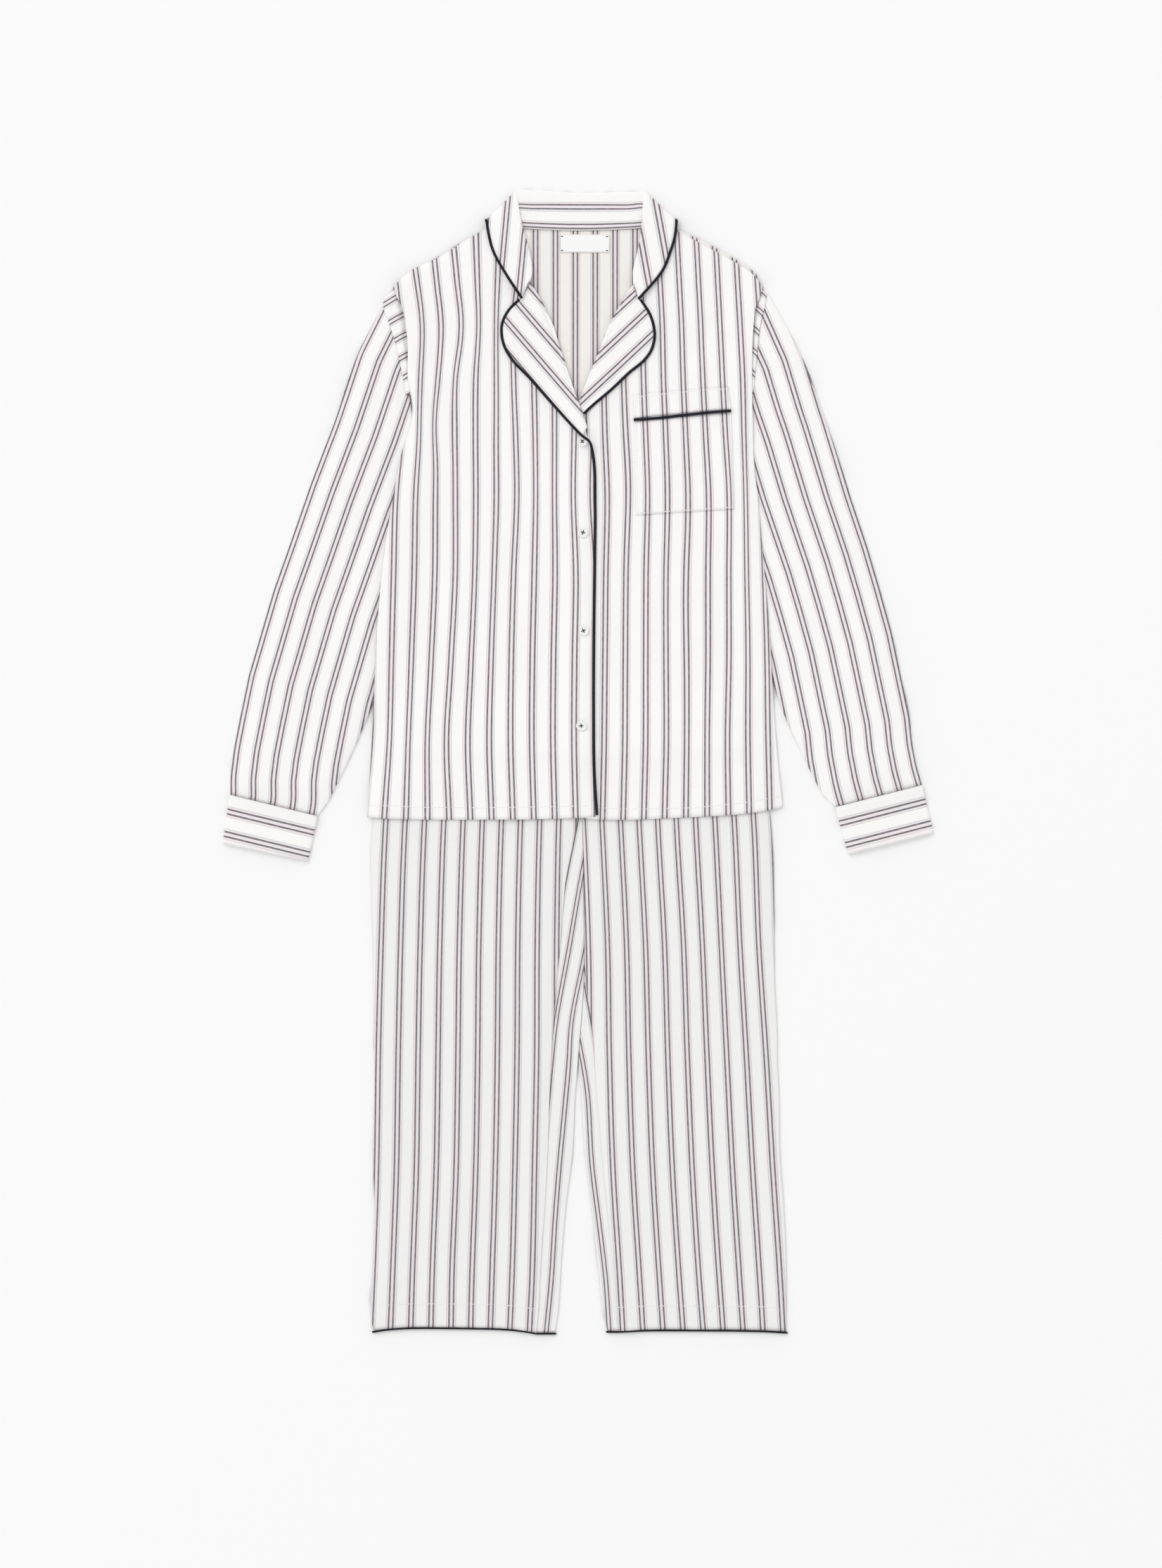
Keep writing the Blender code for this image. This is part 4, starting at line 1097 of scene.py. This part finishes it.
buttonShape = {
    "places": [(4.3, 365), (5, 261.5), (5.5, 150), (3, 42)], "turns": (0.0, 0.5, -0.35, 0.9), "gap": 0.12,
    "width": 11.5, "height": 2.2, "sides": 48, "rim": 1.1, "lip": 0.6, "dish": 0.55, "round": 0.35,
    "hole": 1.5, "holeOffset": 1.5, "thread": 1.15, "arch": 0.75, "sink": 0.3, "crossing": 0.2,
}


def selectFaces(piece, test):
    bpy.ops.mesh.select_all(action="DESELECT")
    bpy.ops.object.mode_set(mode="OBJECT")
    for face in piece.data.polygons:
        face.select = test(face)
    bpy.ops.object.mode_set(mode="EDIT")


def modelButton():
    s = buttonShape
    deselectAll()
    bpy.ops.mesh.primitive_cylinder_add(
        vertices=s["sides"], radius=s["width"] / 2 * mm, depth=s["height"] * mm, location=(0, 0, 0))
    button = bpy.context.object
    button.name = "buttonPattern"
    nearTop = s["height"] / 2 * mm * 0.99
    bpy.ops.object.mode_set(mode="EDIT")
    bpy.ops.mesh.select_mode(type="FACE")
    selectFaces(button, lambda face: face.center.z > nearTop)
    bpy.ops.mesh.inset(thickness=s["rim"] * mm)
    bpy.ops.mesh.inset(thickness=s["lip"] * mm)
    bpy.ops.transform.translate(value=(0, 0, -s["dish"] * mm))
    bpy.ops.object.mode_set(mode="OBJECT")
    edge = button.modifiers.new("edge", "BEVEL")
    edge.width = s["round"] * mm
    edge.segments = 3
    edge.limit_method = "ANGLE"
    edge.angle_limit = math.radians(25)
    reach = s["holeOffset"] * math.sqrt(2) * mm
    drills = []
    for n in range(4):
        turn = math.radians(45 + 90 * n)
        deselectAll()
        bpy.ops.mesh.primitive_cylinder_add(
            vertices=16, radius=s["hole"] / 2 * mm, depth=4 * s["height"] * mm,
            location=(reach * math.cos(turn), reach * math.sin(turn), 0))
        drills.append(bpy.context.object)
        cut = button.modifiers.new(f"hole{n}", "BOOLEAN")
        cut.operation = "DIFFERENCE"
        cut.object = drills[-1]
    applyModifiers(button)
    for drill in drills:
        bpy.data.objects.remove(drill, do_unlink=True)
    selectOnly(button)
    bpy.ops.object.shade_smooth_by_angle(angle=math.radians(35))
    button.data.materials.append(pearlWhite)
    return button


def modelThread():
    # two crossed stitches through the holes, each a short arched bar
    s = buttonShape
    half = s["holeOffset"] * math.sqrt(2) * mm
    bars = []
    for n in (0, 1):
        deselectAll()
        bpy.ops.mesh.primitive_cylinder_add(
            vertices=10, radius=s["thread"] / 2 * mm, depth=2 * half, location=(0, 0, 0),
            rotation=(math.pi / 2, 0, 0))
        bar = bpy.context.object
        bpy.ops.object.transform_apply(location=True, rotation=True, scale=True)
        bpy.ops.object.mode_set(mode="EDIT")
        for part in range(1, 6):
            bpy.ops.mesh.select_all(action="SELECT")
            bpy.ops.mesh.bisect(plane_co=(0, (part / 3 - 1) * half, 0), plane_no=(0, 1, 0))
        bpy.ops.mesh.select_all(action="SELECT")
        bpy.ops.transform.rotate(value=math.radians(45 + 90 * n), orient_axis="Z", center_override=(0, 0, 0))
        bpy.ops.object.mode_set(mode="OBJECT")
        for vertex in bar.data.vertices:
            share = min(1.0, math.hypot(vertex.co.x, vertex.co.y) / half)
            vertex.co.z += (s["arch"] * (1 - share ** 3) - s["sink"] + s["crossing"] * n) * mm
        bpy.ops.object.shade_smooth()
        bars.append(bar)
    selectOnly(*bars)
    bpy.ops.object.join()
    thread = bpy.context.object
    thread.name = "threadPattern"
    thread.data.materials.append(darkThread)
    return thread


def copyTo(pattern, name, place, turn, nodes):
    copy = bpy.data.objects.new(name, pattern.data.copy())
    bpy.context.scene.collection.objects.link(copy)
    c, s = math.cos(turn), math.sin(turn)
    for vertex in copy.data.vertices:
        p = vertex.co
        vertex.co = (place[0] + p.x * c - p.y * s, place[1] + p.x * s + p.y * c, place[2] + p.z)
    finishPiece(copy, nodes)


def discOf(x, y, radii, parts):
    a, r = np.meshgrid(np.linspace(0, 2 * math.pi, parts), radii)
    return x + r * np.cos(a), y + r * np.sin(a)


def makeButtons():
    s = buttonShape
    button, thread = modelButton(), modelThread()
    threadRise = np.array([0, 0, s["height"] / 2 - s["dish"] + 0.1]) * mm
    for n, (x, y) in enumerate(s["places"]):
        base = pileTop[spotsOf(*discOf(x, y, (0, 3, 5.5), 16))].max() + s["gap"]
        place = (np.array([x, y, base + s["height"] / 2]) + tableShift) * mm
        copyTo(button, f"button_{n + 1}_shell", place, s["turns"][n], [f"button_{n + 1}"])
        copyTo(thread, f"button_{n + 1}_thread", place + threadRise, s["turns"][n], [])
        discX, discY = discOf(x, y, np.linspace(0, s["width"] / 2, 5), 25)
        addToPile(np.stack([discX, discY, np.full(discX.shape, base + s["height"])], -1))
    for pattern in (button, thread):
        bpy.data.objects.remove(pattern, do_unlink=True)


# Lapels, with the folded edge at the roll line, and their piping

rightLapel = {
    "rows": [
        Row(-55.5, 545, -65, 526), Row(-50, 536, -76, 516), Row(-44, 526, -84, 503),
        Row(-37, 511, -86, 490), Row(-31, 499, -84, 477), Row(-25, 480, -75, 460), Row(-17, 456, -55, 439),
        Row(-8, 428, -33, 414), Row(2, 400, -8, 386), Row(9, 380, 5, 372),
    ],
    "along": lambda x, y: 0.65 * x - 0.76 * y, "stripes": lambda x, y: (0.76 * x + 0.65 * y - 264) / 23,
    "cut": (0.075, 0.19), "area": 0.0063,
    "creases": [Crease(-72, 500, -30, 430, 8, 0.5)],
}
leftLapel = {
    "rows": [
        Row(62.5, 541, 69, 525), Row(55, 531, 78, 512), Row(47, 517, 84, 495), Row(42, 508, 85, 484),
        Row(37, 499, 82, 471), Row(31, 484, 74, 459), Row(23, 463, 56, 444), Row(14, 442, 36, 425),
        Row(6, 421, 17, 409), Row(0, 404, 5, 398),
    ],
    "along": lambda x, y: 0.73 * x + 0.68 * y, "stripes": lambda x, y: (-0.683 * x + 0.73 * y - 298) / 23.5,
    "cut": (0.07, 0.17), "area": 0.005,
    "creases": [Crease(70, 498, 30, 440, 8, 0.5)],
}
lapelFinish = {
    "wall": 1.1, "step": 3, "unevenness": 0.25, "reach": 2, "ease": 6, "fold": 1.0, "foldFade": 26,
    "foldParts": 8,
    "held": "folded",
}
frontPiping = {
    "diameter": 3.0, "gap": 0.1, "neckMiddle": (0, 470), "rightChest": (-100, 150), "breakY": 366,
    "meets": 352,
    "easing": 14}


def layLapel(name, spec, seed, front):
    spec = {**sheetDefaults, **lapelFinish, **spec, "restsOn": [front]}
    points, fromRoll = layGrid(spec, seed)
    radius = spec["fold"]
    points[..., 2] += 2 * radius * np.clip(1 - fromRoll / spec["foldFade"], 0, 1) ** 0.7
    out = points[:, :1, :2] - points[:, -1:, :2]
    out = out / np.linalg.norm(out, axis=2)[..., None]
    turned = []
    for angle in np.linspace(0.97 * math.pi, math.pi / 10, spec["foldParts"]):
        edge = points[:, :1].copy()
        edge[..., :2] += out * radius * math.sin(angle)
        edge[..., 2] -= radius * (1 - math.cos(angle))
        turned.append(edge)
    points = np.concatenate(turned + [points], 1)
    flat = points.reshape(-1, 3)
    faces = faceUp(flat, gridFaces(*points.shape[:2]), slice(9, 12))
    x, y = points[..., 0], points[..., 1]
    uv = clothUV(spec["stripes"](x, y), spec["along"](x, y)).reshape(-1, 2)
    laid[name] = {"points": points, "before": pileTop.copy()}
    piece = clothPiece(name, flat, faces, shirtCloth, uv[faces], spec["wall"])
    addToPile(points[:, spec["foldParts"] - 1:], spec["wall"] / 2)
    finishPiece(piece, [name], spec)


def besideEdge(edge, centre):
    # a piping's line along the last column of a sheet, on the side away from the centre
    return edge + outwardOf(edge, centre) * (frontPiping["diameter"] / 2 + frontPiping["gap"])


def makeLapels():
    p = frontPiping
    layLapel("facing_left", leftLapel, 91, "shirt_front_left")
    line = evenly(besideEdge(laid["facing_left"]["points"][:, -1, :2], p["neckMiddle"]), pipingStep)
    heights = clearHeight(line, p["diameter"], laid["facing_left"]["before"])
    layCord("lapel_piping_left", np.column_stack([line, heights]), p["diameter"])
    addCordToPile(line, heights, p["diameter"] / 2)
    layLapel("facing_right", rightLapel, 92, "shirt_front_right")
    lower = laid["shirt_front_right"]["points"][:, -1, :2]
    line = evenly(np.concatenate([
        besideEdge(laid["facing_right"]["points"][:, -1, :2], p["neckMiddle"]),
        besideEdge(lower[lower[:, 1] < p["breakY"]], p["rightChest"])]), pipingStep)
    line = smoothLine(line, 3)
    onLapel = clearHeight(line, p["diameter"], np.minimum(laid["facing_right"]["before"], pileTop))
    under = np.maximum(laid["shirt_front_right"]["before"], buttonField())
    onFront = clearHeight(line, p["diameter"], under)
    share = np.clip((line[:, 1] - p["meets"]) / p["easing"], 0, 1)
    heights = smoothLine(onFront * (1 - share) + onLapel * share, 3)
    layCord("front_piping_right", np.column_stack([line, heights]), p["diameter"])
    addCordToPile(line, heights, p["diameter"] / 2)


def buttonField():
    # only the first button's place in the pile, which the front piping crosses
    field = np.zeros_like(pileTop)
    spots = spotsOf(*discOf(*buttonShape["places"][0], np.linspace(0, 5.6, 14), 60))
    field[spots] = pileTop[spots]
    return field


# The chest pocket, with a band of the same cloth above a line of piping

pocketFinish = {
    "gap": 0.12, "reach": 2, "ease": 6, "rolled": ("left", "right"), "restsOn": ["shirt_front_left"]}
pocketShape = {
    "rows": [Row(62.8, 387, 173.3, 397, -1), Row(65, 281, 177, 288)], "wall": 0.4, "step": 4, "loft": 0.5,
    "roll": 5,
    "unevenness": 0.25, "cut": (0.112, 0.11), "creases": [Crease(110, 380, 118, 300, 9, 0.5)],
}
pocketBand = {
    "rows": [Row(62, 418, 170, 427, -1), Row(62.5, 391.3, 173, 401.3, -1)], "wall": 0.8, "step": 3,
    "loft": 0.4,
    "roll": 4, "unevenness": 0.15, "cut": (0.111, 0.027),
}
pocketSeam = {
    "line": [(62.6, 389.6), (90, 391.6), (118, 394.7), (146, 397.6), (173.2, 399.6)], "diameter": 3.0,
    "proud": 0.5,
    "pocketStitches": [(65.2, 386), (67.2, 283.6), (175, 290.3), (171.2, 394)],
    "bandStitches": [(64.8, 394.5), (64.4, 415.6), (100, 419.4), (140, 423.2), (167.6, 424.6), (170, 403.5)],
}


def makePocket():
    seam, before = pocketSeam, pileTop.copy()
    for name, shape, seed in (("pocket", pocketShape, 101), ("pocket_band", pocketBand, 102)):
        laySheet(name, {**pocketFinish, **shape, "stripes": stripesOf(leftFront)}, shirtCloth, seed)
    line = evenly(seam["line"], pipingStep)
    heights = clearHeight(line, seam["diameter"], before) + seam["proud"]
    layCord("pocket_piping", np.column_stack([line, heights]), seam["diameter"])
    stitchRun("pocket_stitches", seam["pocketStitches"], paleThread)
    stitchRun("pocket_band_stitches", seam["bandStitches"], paleThread)


# The collar, across the neck from one gorge round the back to the other

Bend = namedtuple("Bend", "seamX seamY seamZ rollX rollY edgeX edgeY edgeZ turn")
collarShape = {
    "bends": [
        Bend(-59.5, 545.5, 6.1, -55.5, 546.5, -63.5, 529, 8.9, 90),
        Bend(-62, 560, 6.1, -53, 558, -85, 562, 8.7, 90),
        Bend(-69, 578, 6.1, -55, 576, -95.5, 582, 8.5, 90),
        Bend(-79, 596, 6.1, -60, 596, -100.5, 601, 8.3, 90),
        Bend(-86, 605, 6.0, -65, 614, -102.5, 614, 7.6, 80),
        Bend(-92, 610, 5.6, -68.5, 633, -103.5, 617, 6.0, 45),
        Bend(-93, 613, 4.8, -70, 650, -102.5, 618, 3.8, 0),
        Bend(-88, 612.5, 4.1, -63, 651, -97, 612, 1.6, -60),
        Bend(-76, 611, 3.7, -54, 651, -82, 603, 0.8, -90),
        Bend(-56, 609, 3.7, -40, 650.5, -58, 599, 0.8, -90), Bend(2, 607, 3.7, 2, 647.5, 2, 597, 0.8, -90),
        Bend(60, 609, 3.7, 43, 648.5, 63, 599, 0.8, -90), Bend(81, 611, 3.7, 62, 649, 88, 603, 0.8, -90),
        Bend(93, 612.5, 4.1, 69, 649, 103, 612, 1.6, -60),
        Bend(99, 613, 4.8, 75.5, 648, 108.5, 618, 3.8, 0),
        Bend(98, 610, 5.6, 73.5, 633, 109.5, 617, 6.0, 45),
        Bend(93, 604, 6.0, 72, 614, 109.5, 614, 7.6, 80), Bend(87, 595, 6.1, 70, 596, 108, 599, 8.3, 90),
        Bend(77, 578, 6.1, 66.5, 577, 103.5, 583, 8.5, 90), Bend(70, 561, 6.1, 62.5, 560, 93, 558, 8.7, 90),
        Bend(66.5, 545, 6.1, 62.5, 542.5, 67.5, 528, 8.9, 90),
    ],
    "wall": 1.1, "roll": 1.4, "between": 5, "standParts": 8, "arcParts": 8, "fallParts": 10, "seamLap": 2.2,
    "piping": 3.0, "pipingGap": 0.25, "cut": (0.43, 0.08), "area": 0.025, "held": "folded",
    "restsOn": ["shirt_back", "shirt_front_left", "shirt_front_right"],
}
collarStripes = {
    "standFirst": 2.5, "standPitch": 22.5, "standMost": 1.6, "top": 637,
    # x of a stripe at the top, its lean, and the pitch
    "right": (-80.4, -0.092, -22.4), "left": (88, 0.182, 25),
}


def unit(vector):
    return vector / np.linalg.norm(vector)


def collarSection(bend):
    # across the neck: up the stand, round the roll line and down the fall
    shape, r = collarShape, collarShape["roll"]
    seam = np.array([bend.seamX, bend.seamY, bend.seamZ])
    edge = np.array([bend.edgeX, bend.edgeY, bend.edgeZ])
    rise = unit(np.array([bend.rollX - bend.seamX, bend.rollY - bend.seamY, 0]))
    side = (edge - seam) * (1, 1, 0)
    side -= rise * side.dot(rise)
    side = unit(side) if np.linalg.norm(side) > 0.5 else side
    seam = seam - rise * shape["seamLap"]
    turn = math.radians(bend.turn)
    over = unit(side * math.cos(turn) + np.array([0, 0, math.sin(turn)]))
    centre = np.array([bend.rollX, bend.rollY, (bend.seamZ + bend.edgeZ) / 2]) - rise * r
    start, end = centre - over * r, centre + over * r
    points = [seam + (start - seam) * t for t in np.linspace(0, 1, shape["standParts"] + 1)[:-1]]
    for angle in np.linspace(0, math.pi, shape["arcParts"] + 1):
        points.append(centre - over * r * math.cos(angle) + rise * r * math.sin(angle))
    return np.array(points + [end + (edge - end) * t for t in np.linspace(0, 1, shape["fallParts"] + 1)[1:]])


def collarLines():
    # the collar's sections along the neck, lifted clear of the cloth under them
    table = np.array(collarShape["bends"], float)
    places = np.arange(len(table))
    fine = np.linspace(0, len(table) - 1, (len(table) - 1) * collarShape["between"] + 1)
    bends = np.stack([smoothCurve(places, table[:, j], fine) for j in range(table.shape[1])], -1)
    lines = np.array([collarSection(Bend(*row)) for row in bends])
    ground = spreadOut(pileTop, 2)[spotsOf(lines[..., 0], lines[..., 1])]
    ground = ground + sheetDefaults["gap"] + collarShape["wall"] / 2
    onFronts = np.clip((bends[:, 8] - 20) / 50, 0, 1)
    lift = np.clip((ground - lines[..., 2]).max(1), 0, 5) * onFronts
    for _ in range(6):
        wide = np.pad(lift, 1, mode="edge")
        lift = np.maximum(lift, (wide[:-2] + wide[2:]) / 2 - 0.05)
    lines[..., 2] += lift[:, None]
    # the stand's lower edge lies on the neck of the back
    lines[:, :4, 2] += np.clip(ground[:, :4] - lines[:, :4, 2], 0, 3) * np.array([1, 0.9, 0.6, 0.3])
    return lines


def fallStripes(x, y, side):
    start, lean, pitch = collarStripes[side]
    return (x - start - (collarStripes["top"] - y) * lean) / pitch


def makeCollar():
    s, lines = collarStripes, collarLines()
    wide = lines.shape[1]
    flat = lines.reshape(-1, 3)
    # the side of the cloth that faces up on the stand at the back is its upper one
    middle = len(lines) // 2 * (wide - 1)
    faces = faceUp(flat, gridFaces(*lines.shape[:2]), slice(middle, middle + 3))
    height = np.array([lengthAlong(line) for line in lines])
    along = lengthAlong(lines[:, 0, :2])[:, None] + 0 * height
    x, y = lines[..., 0], lines[..., 1]
    stand = np.minimum((height - collarShape["seamLap"] - s["standFirst"]) / s["standPitch"], s["standMost"])
    fall = np.where(x < 0, fallStripes(x, y, "right"), fallStripes(x, y, "left"))
    uvStand, uvFall = (clothUV(*pair).reshape(-1, 2)[faces] for pair in ((stand, along), (fall, y)))
    isStand = faces.min(1) % wide < collarShape["standParts"] + collarShape["arcParts"] // 2
    uv = np.where(isStand[:, None, None], uvStand, uvFall)
    piece = clothPiece("collar", flat, faces, shirtCloth, uv, collarShape["wall"])
    finishPiece(piece, ["collar"], collarShape)
    way = lines[:, -1] - lines[:, -2]
    way /= np.linalg.norm(way, axis=1)[:, None]
    radius = collarShape["piping"] / 2
    path = lines[:, -1] + way * (radius + collarShape["pipingGap"])
    path[:, 2] = np.maximum(path[:, 2], radius + 0.1)
    layCord("collar_piping", path, collarShape["piping"])


shirtHem = {
    "right": [(-238, -48), (-180, -50.5), (-110, -51), (-40, -50), (14, -49)],
    "left": [(22, -51), (70, -52.5), (130, -51), (190, -45), (229, -38)],
}

makeBody()
makeLabel()
print("body of the shirt laid")
makeButtons()
makeLapels()
makePocket()
makeCollar()
for side, line in shirtHem.items():
    stitchRun(f"shirt_hem_stitches_{side}", line, paleThread)
print("collar, lapels, pocket and buttons made")
